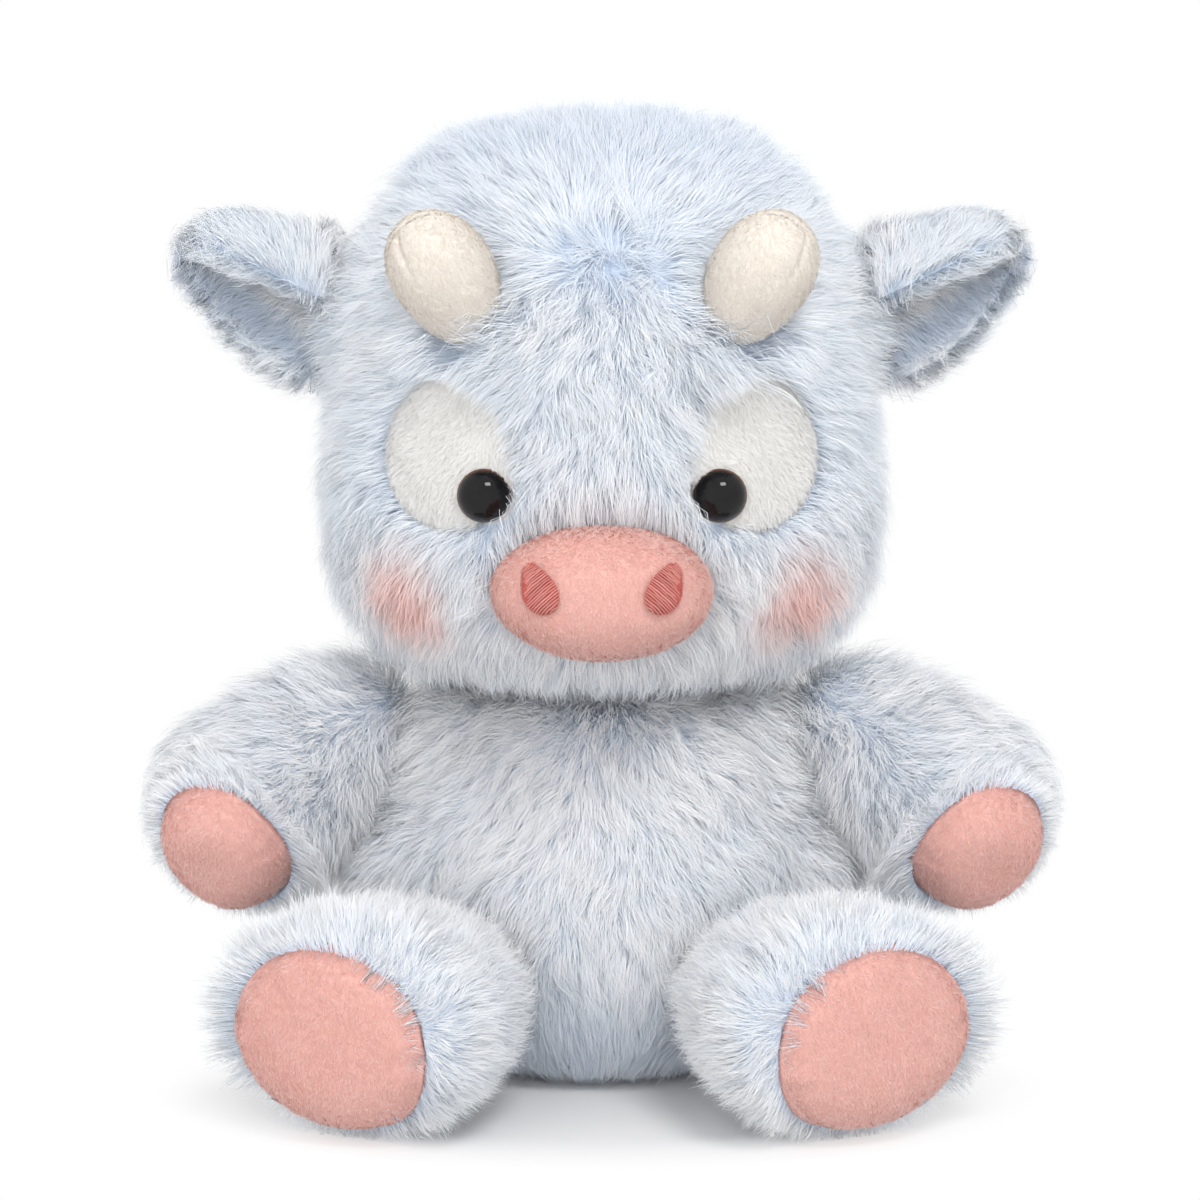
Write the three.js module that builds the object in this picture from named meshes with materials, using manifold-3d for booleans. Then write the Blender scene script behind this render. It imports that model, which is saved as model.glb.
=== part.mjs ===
// Plush cow that sits with its legs out in front. Millimetres, +Z up, the face looks along -Y, floor at z = 0.
// Every soft piece is a shell of cloth round its own stuffing, as the toy is sewn. The fur cloth's shell
// is as thick as its pile lies. "Left" is the cow's own left, at +X, and the right side mirrors it.

import * as THREE from "three";
import { mergeVertices } from "three/addons/utils/BufferGeometryUtils.js";
import Module from "manifold-3d";

const wasm = await Module();
wasm.setup();

// Cloth, thread and gaps
const PILE = 7; // long fur, as deep as it lies
const BACKING = 1; // knitted cloth that the fur grows from
const SKIN = PILE + BACKING;
const VELOUR = 1.8; // short pink and cream pile with its cloth
const PATCH_CLOTH = 3; // white plush round the eyes
const LINING = 2.5; // cloth inside the ears
const EMBROIDERY = 0.9; // satin stitch above the velour
const SEAM_GAP = 0.3; // between pieces that touch
const SEAT_CUT = 0.5; // depth of the flat that a soft piece stands on
const OVERRUN = 5; // how far a cutting form runs past what it cuts

// Body
const BODY_WIDTH = 131;
const BODY_DEPTH = 104;
const BODY_HEIGHT = 112;
const NECK_MOUTH = 34; // opening in the body cloth under the head

// Head
const HEAD_WIDTH = 153;
const HEAD_HEIGHT = 159;
const HEAD_FRONT = 71; // from the neck axis to the face
const HEAD_BACK = 66;
const HEAD_SINK = 12; // how far the body's top reaches into the head

// Snout and nostrils
const SNOUT_WIDTH = 56;
const SNOUT_HEIGHT = 34;
const SNOUT_DEPTH = 46;
const SNOUT_REACH = 21; // in front of the face
const SNOUT_RISE = 39; // centre above the chin
const NOSTRIL_WIDTH = 9;
const NOSTRIL_HEIGHT = 13;
const NOSTRIL_SPREAD = 31;
const NOSTRIL_LIFT = 2.5; // above the snout's middle
const NOSTRIL_TILT = 24; // degrees, narrow end up and outwards

// Eyes and the patches round them
const EYE_DIAMETER = 14;
const EYE_HEIGHT = 5.5;
const EYE_FLANGE = 1;
const EYE_SPREAD = 60;
const EYE_RISE = 62.7; // above the chin
const STEM_DIAMETER = 4.5;
const STEM_LENGTH = 12;
const WASHER_DIAMETER = 15;
const WASHER_THICKNESS = 1.6;
const PATCH_WIDTH = 41;
const PATCH_HEIGHT = 39;
const PATCH_SPREAD = 82;
const PATCH_RISE = 73;

// Horns
const HORN_LENGTH = 33;
const HORN_DIAMETER = 27;
const HORN_SPREAD = 69; // between the two roots
const HORN_RISE = 106; // root above the chin
const HORN_BEND = 3; // how far the tip curls outwards
const HORN_LEAN = new THREE.Vector3(0.4, -0.43, 0.8).normalize();

// Ears
const EAR_LENGTH = 46;
const EAR_HANG = 24; // back sheet below the ear's middle line
const EAR_RISE = 8; // back sheet above the ear's middle line
const EAR_FLAP = 10; // folded front flap
const EAR_FOLD = 6.5; // radius of the fold between sheet and flap
const EAR_FOLD_TURN = 171; // degrees from sheet to flap at the root
const EAR_FOLD_OPENING = 40; // degrees less at the tip
const EAR_FUR = 5; // fur cloth of the ear
const EAR_HEIGHT = 106; // root above the chin
const EAR_SETBACK = 4; // root behind the neck axis
const EAR_TILT = 17; // degrees above level
const EAR_ROOT = 7; // length hidden in the head's fur
const EAR_DROOP_LIMIT = -10;
const EAR_LIFT_LIMIT = 20;

// Arms
const ARM_ROOT_RADIUS = 20;
const ARM_DIAMETER = 48;
const ARM_OUT = 38; // shoulder to paw
const ARM_FORWARD = 37;
const ARM_DROP = 31;
const SHOULDER_HEIGHT = 85;
const PAW_PAD = 35;

// Legs
const LEG_ROOT_RADIUS = 26;
const FOOT_WIDTH = 79;
const FOOT_HEIGHT = 61;
const LEG_OUT = 28; // hip to the front of the foot
const LEG_FORWARD = 39.5;
const HIP_TURN = 57; // degrees from the side towards the front
const FOOT_PAD_WIDTH = 52;
const FOOT_PAD_HEIGHT = 46.5;
const FOOT_PAD_DROP = 3.5; // below the middle of the foot

// What the root of a limb or of the tail presses into the fur
const ROOT_DISH = 6.3;
const LIMB_MOUTH_SHARE = 0.4; // opening in a limb's cloth at its root, of the root's radius
const PAD_INSET = 3; // a pad's face below the tips of the fur round it

// Tail
const TAIL_DIAMETER = 11;
const TAIL_OUT = 27;
const TAIL_DROP = 24;
const TAIL_HEIGHT = 42;
const TUFT_DIAMETER = 20;
const TUFT_LENGTH = 27;

// Shares of the form's length, each with a share of its full size there
const headWidthShares = [[0, 0.9], [0.1, 1.04], [0.25, 1.04], [0.41, 0.99], [0.52, 0.95],
  [0.75, 0.96], [1, 0.9]];
const headFrontShares = [[0, 0.95], [0.15, 1.03], [0.3, 1.03], [0.5, 0.98], [0.75, 0.92], [1, 0.84]];
const headBackShares = [[0, 1], [0.2, 1], [0.5, 1], [0.8, 0.95], [1, 0.86]];
const bodyWidthShares = [[0, 1.02], [0.25, 1.02], [0.5, 0.99], [0.7, 0.92], [0.85, 0.96], [1, 1]];
const bodyDepthShares = [[0, 1.0], [0.3, 1.04], [0.5, 1.02], [0.7, 1.0], [0.85, 1.13], [1, 1.23]];
const armShares = [[0, 0.83], [0.2, 0.9], [0.5, 0.98], [0.75, 1], [1, 0.9]];
const legWidthShares = [[0, 0.64], [0.3, 0.7], [0.55, 0.92], [0.8, 1.02], [1, 1]];
const legHeightShares = [[0, 0.8], [0.3, 0.86], [0.55, 0.97], [0.8, 1.05], [1, 1.08]];
const hornShares = [[0, 0.74], [0.3, 0.88], [0.6, 1], [1, 1]];
const earFoldShares = [[0, 0.7], [0.3, 1], [0.72, 0.95], [0.9, 0.6], [1, 0.15]];
const earHangShares = [[0, 0.7], [0.125, 0.92], [0.24, 1], [0.5, 0.84], [0.78, 0.48], [1, 0.05]];
const tailShares = [[0, 1], [0.5, 0.85], [1, 0.8]];
const tuftShares = [[0, 0.8], [0.4, 1], [1, 0.75]];
const snoutShares = [[0, 1], [1, 1]];
const bodySeatShare = 0.035; // of the body's height that the seat flattens away
const nostrilLowShare = 0.42; // of a nostril's height that lies below its widest part
const coreFacetShare = 0.7; // how many facets a limb's stuffing has to its cloth's

// Routes of limbs and tail from the root's middle: shares of the reach along X, along Y and down
const armRouteShares = [[0, 0, 0], [0.4, 0.08, 0.3], [0.74, 0.4, 0.62], [1, 1, 1]];
const legRouteShares = [[0, 0, 0], [0.62, 0.5, 0], [1, 1, 0]];
const tailRouteShares = [[0, 0.2, 0], [0, 0.65, 0.25], [0, 1, 1]];

const UP = new THREE.Vector3(0, 0, 1);
const FRONT = new THREE.Vector3(0, -1, 0);
const radians = THREE.MathUtils.degToRad;

// Materials
const cloth = (color) => new THREE.MeshStandardMaterial({ color, roughness: 0.95, metalness: 0 });
const furBlue = cloth(0xc6d5ea);
const furLining = cloth(0xb4c4da);
const pinkVelour = cloth(0xeeb0a4);
const rosyThread = cloth(0xcf8077);
const creamVelour = cloth(0xf2ebe1);
const whitePlush = cloth(0xeeebe6);
const fibreFill = cloth(0xf6f5f1);
const tuftFur = cloth(0xdde4f0);
const blackEye = new THREE.MeshStandardMaterial({ color: 0x0b0a0c, roughness: 0.08, metalness: 0 });
const washerPlastic = new THREE.MeshStandardMaterial({ color: 0xe9e9e4, roughness: 0.5, metalness: 0 });

// Solids from geometry and back, for joins and cuts
function solidOf(geometry) {
  const bare = new THREE.BufferGeometry();
  bare.setAttribute("position", geometry.getAttribute("position"));
  bare.setIndex(geometry.getIndex());
  const merged = mergeVertices(bare);
  return new wasm.Manifold(new wasm.Mesh({
    numProp: 3,
    vertProperties: new Float32Array(merged.getAttribute("position").array),
    triVerts: new Uint32Array(merged.getIndex().array),
  }));
}

function geometryOf(solid) {
  const mesh = solid.getMesh();
  const geometry = new THREE.BufferGeometry();
  geometry.setAttribute("position", new THREE.BufferAttribute(mesh.vertProperties, mesh.numProp));
  geometry.setIndex(new THREE.BufferAttribute(mesh.triVerts, 1));
  return geometry;
}

// A smooth value through stations, each a share of the way and the value there
function between(stations, share) {
  const last = stations.length - 1;
  let i = 0;
  while (i < last - 1 && share > stations[i + 1][0]) i += 1;
  const slopeAt = (k) => {
    const [before, after] = [stations[Math.max(k - 1, 0)], stations[Math.min(k + 1, last)]];
    return (after[1] - before[1]) / (after[0] - before[0]);
  };
  const span = stations[i + 1][0] - stations[i][0];
  const k = THREE.MathUtils.clamp((share - stations[i][0]) / span, 0, 1);
  const [k2, k3] = [k * k, k * k * k];
  return stations[i][1] * (2 * k3 - 3 * k2 + 1) + slopeAt(i) * span * (k3 - 2 * k2 + k)
    + stations[i + 1][1] * (3 * k2 - 2 * k3) + slopeAt(i + 1) * span * (k3 - k2);
}

// How full a stuffed form is along its length: nothing at the ends, all at the middle
function fullness(share, lowPower, highPower) {
  const off = Math.abs(2 * share - 1);
  const power = share < 0.5 ? lowPower : highPower;
  return Math.max(1 - off ** power, 0) ** (1 / power);
}

// A stuffed form along a spine: how it swells, and how many facets it has.
// Sections are ellipses with a half width, a half size to the front and one to the back.
function stuffedForm(spec) {
  const spine = new THREE.CatmullRomCurve3(spec.spine, false, "centripetal");
  return { lowPower: 2.4, highPower: 2.4, seatShare: 0, ...spec, spine, length: spine.getLength() };
}

// Where the section at a share of the length lies, and how far it reaches, for a form drawn in by inset
function sectionAt(form, share, inset) {
  const end = inset / form.length;
  const seatEnd = form.seatShare > 0 ? (inset > 0 ? end : 0) : end;
  const along = seatEnd + share * (1 - end - seatEnd);
  const at = THREE.MathUtils.clamp(along, 0, 1);
  const tangent = form.spine.getTangentAt(at);
  const centre = form.spine.getPointAt(at).addScaledVector(tangent, (along - at) * form.length);
  const front = form.hint.clone().addScaledVector(tangent, -form.hint.dot(tangent)).normalize();
  const side = tangent.clone().cross(front);
  const full = fullness(form.seatShare + (1 - form.seatShare) * share, form.lowPower, form.highPower);
  return {
    centre, tangent, front, side,
    halfWidth: (between(form.widthShares, at) * form.halfWidth - inset) * full,
    halfFront: (between(form.frontShares, at) * form.halfFront - inset) * full,
    halfBack: (between(form.backShares, at) * form.halfBack - inset) * full,
  };
}

// A point on the form's surface, at an angle from its side towards its front
function pointOn(form, share, angle, inset = 0) {
  const section = sectionAt(form, share, inset);
  const rise = Math.sin(angle) > 0 ? section.halfFront : section.halfBack;
  return section.centre.clone()
    .addScaledVector(section.side, section.halfWidth * Math.cos(angle))
    .addScaledVector(section.front, rise * Math.sin(angle));
}

// The way out of the surface at that point
function outwardAt(form, share, angle) {
  const step = 0.01;
  const round = pointOn(form, share, angle + step).sub(pointOn(form, share, angle - step));
  const along = pointOn(form, share + step, angle).sub(pointOn(form, share - step, angle));
  return along.cross(round).normalize();
}

// The form's closed surface: rings that close up towards a pole at each end
function surfaceOf(form, inset = 0) {
  const { rings, sides } = form;
  const points = [pointOn(form, 0, 0, inset)];
  if (form.seatShare > 0) points[0] = sectionAt(form, 0, inset).centre;
  const firstRing = form.seatShare > 0 ? 0 : 1;
  for (let ring = firstRing; ring < rings; ring += 1) {
    const share = (1 - Math.cos((Math.PI * ring) / rings)) / 2;
    for (let k = 0; k < sides; k += 1) points.push(pointOn(form, share, (2 * Math.PI * k) / sides, inset));
  }
  points.push(sectionAt(form, 1, inset).centre);
  const ringCount = rings - firstRing;
  const at = (ring, k) => 1 + ring * sides + (k % sides);
  const topPole = points.length - 1;
  const index = [];
  for (let k = 0; k < sides; k += 1) {
    index.push(0, at(0, k), at(0, k + 1));
    index.push(topPole, at(ringCount - 1, k + 1), at(ringCount - 1, k));
    for (let ring = 0; ring < ringCount - 1; ring += 1) {
      index.push(at(ring, k), at(ring + 1, k + 1), at(ring, k + 1));
      index.push(at(ring, k), at(ring + 1, k), at(ring + 1, k + 1));
    }
  }
  return new THREE.BufferGeometry().setFromPoints(points).setIndex(index);
}

const formSolid = (form, inset = 0) => solidOf(surfaceOf(form, inset));

// Geometry made along +Z, turned to look along outward with its +Y as near up as can be
function aimed(geometry, point, outward, up = UP) {
  const side = up.clone().cross(outward).normalize();
  const lift = outward.clone().cross(side);
  const turn = new THREE.Matrix4().makeBasis(side, lift, outward).setPosition(point);
  return geometry.clone().applyMatrix4(turn);
}

// A straight plug of an outline, centred on the surface and as deep both ways
function plug(outline, depth, segments) {
  return new THREE.ExtrudeGeometry(outline, { depth: 2 * depth, bevelEnabled: false, curveSegments: segments })
    .translate(0, 0, -depth);
}

function oval(width, height) {
  return new THREE.Shape().absellipse(0, 0, width / 2, height / 2, 0, 2 * Math.PI);
}

const ball = (radius, centre) => solidOf(new THREE.SphereGeometry(radius, 18, 12)
  .translate(centre.x, centre.y, centre.z));

// Everything under the floor, for cutting a flat where a soft piece stands
const floorBlock = solidOf(new THREE.BoxGeometry(2 * HEAD_WIDTH, 2 * HEAD_WIDTH, HEAD_WIDTH)
  .translate(0, 0, -HEAD_WIDTH / 2));

// Body: a pear with a flat seat and a round top that the head sits on
const bodyForm = stuffedForm({
  spine: [new THREE.Vector3(0, 0, -SEAT_CUT), new THREE.Vector3(0, 0, BODY_HEIGHT / 2),
    new THREE.Vector3(0, 0, BODY_HEIGHT)],
  hint: FRONT, halfWidth: BODY_WIDTH / 2, halfFront: BODY_DEPTH / 2, halfBack: BODY_DEPTH / 2,
  widthShares: bodyWidthShares, frontShares: bodyDepthShares, backShares: bodyDepthShares,
  lowPower: 2.6, highPower: 2.3, seatShare: bodySeatShare, rings: 13, sides: 26,
});

// What the head turns on: the body's form made round about the neck axis
const neckForm = { ...bodyForm, halfFront: BODY_WIDTH / 2, halfBack: BODY_WIDTH / 2,
  frontShares: bodyWidthShares, backShares: bodyWidthShares };

// Head
const chin = BODY_HEIGHT - HEAD_SINK;
const headForm = stuffedForm({
  spine: [new THREE.Vector3(0, 0, chin), new THREE.Vector3(0, 0, chin + HEAD_HEIGHT / 2),
    new THREE.Vector3(0, 0, chin + HEAD_HEIGHT)],
  hint: FRONT, halfWidth: HEAD_WIDTH / 2, halfFront: HEAD_FRONT, halfBack: HEAD_BACK,
  widthShares: headWidthShares, frontShares: headFrontShares, backShares: headBackShares,
  lowPower: 2.5, highPower: 2.5, rings: 16, sides: 28,
});
const headCoreForm = { ...headForm, rings: 10, sides: 16 };
const bodyCoreForm = { ...bodyForm, rings: 8, sides: 16 };

// The point of the face at a distance from the middle and a height above the chin, and the way out of it
function faceAt(x, rise, inset = 0) {
  let [low, high] = [0, 1];
  const heightAt = (share) => sectionAt(headForm, share, inset).centre.z - chin;
  for (let pass = 0; pass < 40; pass += 1) {
    const middle = (low + high) / 2;
    if (heightAt(middle) < rise) low = middle;
    else high = middle;
  }
  const angle = Math.acos(x / sectionAt(headForm, low, inset).halfWidth);
  return { point: pointOn(headForm, low, angle, inset), outward: outwardAt(headForm, low, angle) };
}

// Eye patch: white plush set into an opening of the face
const patchPlace = faceAt(PATCH_SPREAD / 2, PATCH_RISE, SKIN - PATCH_CLOTH);
function patchPlug(extra) {
  const shape = oval(PATCH_WIDTH + 2 * extra, PATCH_HEIGHT + 2 * extra);
  return solidOf(aimed(plug(shape, 2 * SKIN + OVERRUN, 10), patchPlace.point, patchPlace.outward));
}

// Safety eye: a domed button with a stem through the patch, held by a washer behind it
const eyeSeat = faceAt(EYE_SPREAD / 2, EYE_RISE, SKIN - PATCH_CLOTH);
const eyeBase = eyeSeat.point.clone().addScaledVector(eyeSeat.outward, SEAM_GAP);
function eyeGeometry(extra = 0) {
  const [rim, stem] = [EYE_DIAMETER / 2 + extra, STEM_DIAMETER / 2 + extra];
  const profile = [new THREE.Vector2(0, -STEM_LENGTH - extra), new THREE.Vector2(stem, -STEM_LENGTH - extra),
    new THREE.Vector2(stem, -extra), new THREE.Vector2(rim, -extra), new THREE.Vector2(rim, EYE_FLANGE)];
  const steps = 4;
  for (let i = 1; i < steps; i += 1) {
    const a = (Math.PI / 2) * (i / steps);
    profile.push(new THREE.Vector2(rim * Math.cos(a), EYE_FLANGE + (EYE_HEIGHT - EYE_FLANGE) * Math.sin(a)));
  }
  profile.push(new THREE.Vector2(0, EYE_HEIGHT + extra));
  return aimed(new THREE.LatheGeometry(profile, 16).rotateX(Math.PI / 2), eyeBase, eyeSeat.outward);
}
function washerGeometry(extra = 0) {
  const [inner, outer] = [STEM_DIAMETER / 2 + SEAM_GAP - extra, WASHER_DIAMETER / 2 + extra];
  const front = -PATCH_CLOTH - 2 * SEAM_GAP + extra;
  const back = front - WASHER_THICKNESS - 2 * extra;
  const profile = [new THREE.Vector2(inner, back), new THREE.Vector2(outer, back),
    new THREE.Vector2(outer, front), new THREE.Vector2(inner, front), new THREE.Vector2(inner, back)];
  return aimed(new THREE.LatheGeometry(profile, 16).rotateX(Math.PI / 2), eyeBase, eyeSeat.outward);
}
// Room in the stuffing behind the eye, open to the cloth
function eyePocket() {
  const depth = STEM_LENGTH + 2 * SEAM_GAP;
  const radius = WASHER_DIAMETER / 2 + 2 * SEAM_GAP;
  const room = new THREE.CylinderGeometry(radius, radius, depth, 14)
    .rotateX(Math.PI / 2).translate(0, 0, -depth / 2);
  return solidOf(aimed(room, eyeBase, eyeSeat.outward));
}

// Snout: a short stuffed oval, sewn into the lower face
const snoutFront = HEAD_FRONT + SNOUT_REACH;
const snoutHeight = chin + SNOUT_RISE;
const snoutAt = (behindFront) => new THREE.Vector3(0, behindFront - snoutFront, snoutHeight);
const snoutForm = stuffedForm({
  spine: [snoutAt(SNOUT_DEPTH), snoutAt(SNOUT_DEPTH / 2), snoutAt(0)],
  hint: UP, halfWidth: SNOUT_WIDTH / 2, halfFront: SNOUT_HEIGHT / 2, halfBack: SNOUT_HEIGHT / 2,
  widthShares: snoutShares, frontShares: snoutShares, backShares: snoutShares,
  lowPower: 3, highPower: 2.5, rings: 10, sides: 18,
});
// Teardrop of a nostril, its narrow end towards +Y
function nostrilOutline() {
  const [half, low] = [NOSTRIL_WIDTH / 2, NOSTRIL_HEIGHT * nostrilLowShare];
  const high = NOSTRIL_HEIGHT - low;
  const shape = new THREE.Shape().moveTo(0, high);
  shape.bezierCurveTo(half * 0.5, high, half, high * 0.3, half, 0);
  shape.bezierCurveTo(half, -low * 0.6, half * 0.6, -low, 0, -low);
  shape.bezierCurveTo(-half * 0.6, -low, -half, -low * 0.6, -half, 0);
  return shape.bezierCurveTo(-half, high * 0.3, -half * 0.5, high, 0, high);
}

// Horn: a fat bent egg of cream velour, its root in the fur
const hornRoot = faceAt(HORN_SPREAD / 2, HORN_RISE, PILE);
const hornAt = (along, out) => hornRoot.point.clone().addScaledVector(HORN_LEAN, along)
  .add(new THREE.Vector3(out, 0, 0));
const hornForm = stuffedForm({
  spine: [hornAt(-OVERRUN, -HORN_BEND / 2), hornAt(HORN_LENGTH / 2, -HORN_BEND / 4),
    hornAt(HORN_LENGTH, HORN_BEND)],
  hint: FRONT, halfWidth: HORN_DIAMETER / 2, halfFront: HORN_DIAMETER / 2, halfBack: HORN_DIAMETER / 2,
  widthShares: hornShares, frontShares: hornShares, backShares: hornShares,
  lowPower: 2.6, highPower: 2.2, rings: 8, sides: 12,
});

// Ear: a leaf of two cloths, its top folded over to the front
const earPivot = (() => {
  const share = EAR_HEIGHT / HEAD_HEIGHT;
  const section = sectionAt(headForm, share, 0);
  const angle = -Math.asin(EAR_SETBACK / section.halfBack);
  return pointOn(headForm, share, angle);
})();
const earAxis = new THREE.Vector3(Math.cos(radians(EAR_TILT)), 0, Math.sin(radians(EAR_TILT)));
const earUp = new THREE.Vector3(-earAxis.z, 0, earAxis.x);
// A point of the ear's middle sheet and the way out of its fur side: across runs from hem to flap edge
function earSheetAt(along, across) {
  const hang = EAR_HANG * between(earHangShares, along);
  const spread = between(earFoldShares, along);
  const [rise, flap] = [EAR_RISE * spread, EAR_FLAP * spread];
  const fold = (EAR_FOLD * (1 + spread)) / 2;
  const bend = radians(EAR_FOLD_TURN - EAR_FOLD_OPENING * along);
  const arc = fold * bend;
  const travel = across * (hang + rise + arc + flap) - hang;
  const turn = THREE.MathUtils.clamp((travel - rise) / fold, 0, bend);
  const beyondFold = Math.max(travel - rise - arc, 0);
  const towardFront = fold * (1 - Math.cos(turn)) + beyondFold * Math.sin(turn);
  const height = Math.min(travel, rise) + fold * Math.sin(turn) + beyondFold * Math.cos(turn);
  const length = (EAR_LENGTH + EAR_ROOT) * along - EAR_ROOT;
  const point = earPivot.clone().addScaledVector(earAxis, length)
    .addScaledVector(FRONT, towardFront - EAR_FOLD / 2).addScaledVector(earUp, height);
  const outward = earUp.clone().multiplyScalar(Math.sin(turn)).addScaledVector(FRONT, -Math.cos(turn));
  return { point, outward };
}
// One cloth of the ear, between two distances from the middle sheet
function earCloth(inner, outer) {
  const [rows, columns] = [6, 9];
  const points = [];
  for (const off of [inner, outer]) {
    for (let i = 0; i <= rows; i += 1) {
      for (let j = 0; j <= columns; j += 1) {
        const { point, outward } = earSheetAt(i / rows, j / columns);
        points.push(point.addScaledVector(outward, off));
      }
    }
  }
  const width = columns + 1;
  const layer = (rows + 1) * width;
  const at = (side, i, j) => side * layer + i * width + j;
  const index = [];
  const quad = (a, b, c, d) => index.push(a, b, c, a, c, d);
  for (let i = 0; i < rows; i += 1) {
    for (let j = 0; j < columns; j += 1) {
      quad(at(1, i, j), at(1, i, j + 1), at(1, i + 1, j + 1), at(1, i + 1, j));
      quad(at(0, i, j), at(0, i + 1, j), at(0, i + 1, j + 1), at(0, i, j + 1));
    }
    quad(at(0, i, 0), at(1, i, 0), at(1, i + 1, 0), at(0, i + 1, 0));
    quad(at(1, i, columns), at(0, i, columns), at(0, i + 1, columns), at(1, i + 1, columns));
  }
  for (let j = 0; j < columns; j += 1) {
    quad(at(1, 0, j), at(0, 0, j), at(0, 0, j + 1), at(1, 0, j + 1));
    quad(at(0, rows, j), at(1, rows, j), at(1, rows, j + 1), at(0, rows, j + 1));
  }
  return new THREE.BufferGeometry().setFromPoints(points).setIndex(index);
}

// The head's form turned back about the ear's pivot by each angle that the ear can stand at
function earClearance() {
  const head = surfaceOf(headForm, -SEAM_GAP);
  return [EAR_DROOP_LIMIT, 0, EAR_LIFT_LIMIT].map((degrees) => {
    const turned = head.clone().translate(-earPivot.x, -earPivot.y, -earPivot.z)
      .rotateY(radians(degrees)).translate(earPivot.x, earPivot.y, earPivot.z);
    return solidOf(turned);
  });
}

// Where a round root sits: its middle, so far out that the root dishes the body's fur and no more
function rootOn(height, angle, radius, level = false) {
  let [low, high] = [0, 1];
  for (let pass = 0; pass < 40; pass += 1) {
    const middle = (low + high) / 2;
    if (sectionAt(bodyForm, middle, 0).centre.z < height) low = middle;
    else high = middle;
  }
  const outward = outwardAt(bodyForm, low, angle);
  if (level) outward.setZ(0).normalize();
  return { centre: pointOn(bodyForm, low, angle).addScaledVector(outward, radius - ROOT_DISH), outward };
}

const insideOf = (root, radius) => root.centre.clone().addScaledVector(root.outward, -radius);
const routeFrom = (start, reach, shares) => shares
  .map((share) => new THREE.Vector3(...share).multiply(reach).add(start));

// Arm: from a round root at the shoulder, out, forwards and down to the paw
const shoulder = rootOn(SHOULDER_HEIGHT, 0, ARM_ROOT_RADIUS);
const armReach = new THREE.Vector3(ARM_OUT, -ARM_FORWARD, -ARM_DROP);
const armForm = stuffedForm({
  spine: [insideOf(shoulder, ARM_ROOT_RADIUS), ...routeFrom(shoulder.centre, armReach, armRouteShares)],
  hint: UP, halfWidth: ARM_DIAMETER / 2, halfFront: ARM_DIAMETER / 2, halfBack: ARM_DIAMETER / 2,
  widthShares: armShares, frontShares: armShares, backShares: armShares,
  lowPower: 2.3, highPower: 5, rings: 12, sides: 16,
});

// Leg: from a round root at the hip to a wide foot that faces forwards
const hip = rootOn(FOOT_HEIGHT / 2, radians(HIP_TURN), LEG_ROOT_RADIUS, true);
const legReach = new THREE.Vector3(LEG_OUT, -LEG_FORWARD, 0);
const legForm = stuffedForm({
  spine: [insideOf(hip, LEG_ROOT_RADIUS), ...routeFrom(hip.centre, legReach, legRouteShares)],
  hint: UP, halfWidth: FOOT_WIDTH / 2, halfFront: FOOT_HEIGHT / 2, halfBack: FOOT_HEIGHT / 2 + SEAT_CUT,
  widthShares: legWidthShares, frontShares: legHeightShares, backShares: legHeightShares,
  lowPower: 2.2, highPower: 3.6, rings: 12, sides: 16,
});

// Tail: a thin stuffed tube that leaves the back, bends down and ends in a tuft
const tailSeat = rootOn(TAIL_HEIGHT, -Math.PI / 2, TAIL_DIAMETER / 2).centre;
const tailReach = new THREE.Vector3(0, TAIL_OUT, -TAIL_DROP);
const tailRoute = routeFrom(tailSeat, tailReach, tailRouteShares);
const tailForm = stuffedForm({
  spine: [tailSeat.clone().addScaledVector(FRONT, TAIL_DIAMETER / 2), ...tailRoute],
  hint: new THREE.Vector3(1, 0, 0), halfWidth: TAIL_DIAMETER / 2, halfFront: TAIL_DIAMETER / 2,
  halfBack: TAIL_DIAMETER / 2, widthShares: tailShares, frontShares: tailShares, backShares: tailShares,
  lowPower: 2, highPower: 4, rings: 10, sides: 10,
});
const tuftStartShare = -1 / 3; // the tuft begins before the tail's end
const tuftAt = (share) => tailForm.spine.getPointAt(1)
  .addScaledVector(tailForm.spine.getTangentAt(1), TUFT_LENGTH * (tuftStartShare + share));
const tuftForm = stuffedForm({
  spine: [tuftAt(0), tuftAt(0.5), tuftAt(1)],
  hint: new THREE.Vector3(1, 0, 0), halfWidth: TUFT_DIAMETER / 2, halfFront: TUFT_DIAMETER / 2,
  halfBack: TUFT_DIAMETER / 2, widthShares: tuftShares, frontShares: tuftShares, backShares: tuftShares,
  lowPower: 2.2, highPower: 2, rings: 8, sides: 12,
});

// The same solid on the other side of the middle plane
function mirrored(solid) {
  const geometry = geometryOf(solid).scale(-1, 1, 1);
  const index = geometry.getIndex();
  for (let i = 0; i < index.count; i += 3) {
    const second = index.getX(i + 1);
    index.setX(i + 1, index.getX(i + 2));
    index.setX(i + 2, second);
  }
  return solidOf(geometry);
}

const cut = (solid, ...cutters) => cutters.reduce((left, cutter) => left.subtract(cutter), solid);
const cutBothSides = (solid, ...cutters) => cut(solid, ...cutters, ...cutters.map(mirrored));

// A round opening along a direction, for a mouth in the cloth
function boreSolid(radius, from, direction, depth) {
  const bore = new THREE.CylinderGeometry(radius, radius, depth, 14)
    .rotateX(Math.PI / 2).translate(0, 0, depth / 2);
  return solidOf(aimed(bore, from, direction, Math.abs(direction.z) > 0.9 ? FRONT : UP));
}

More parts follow.
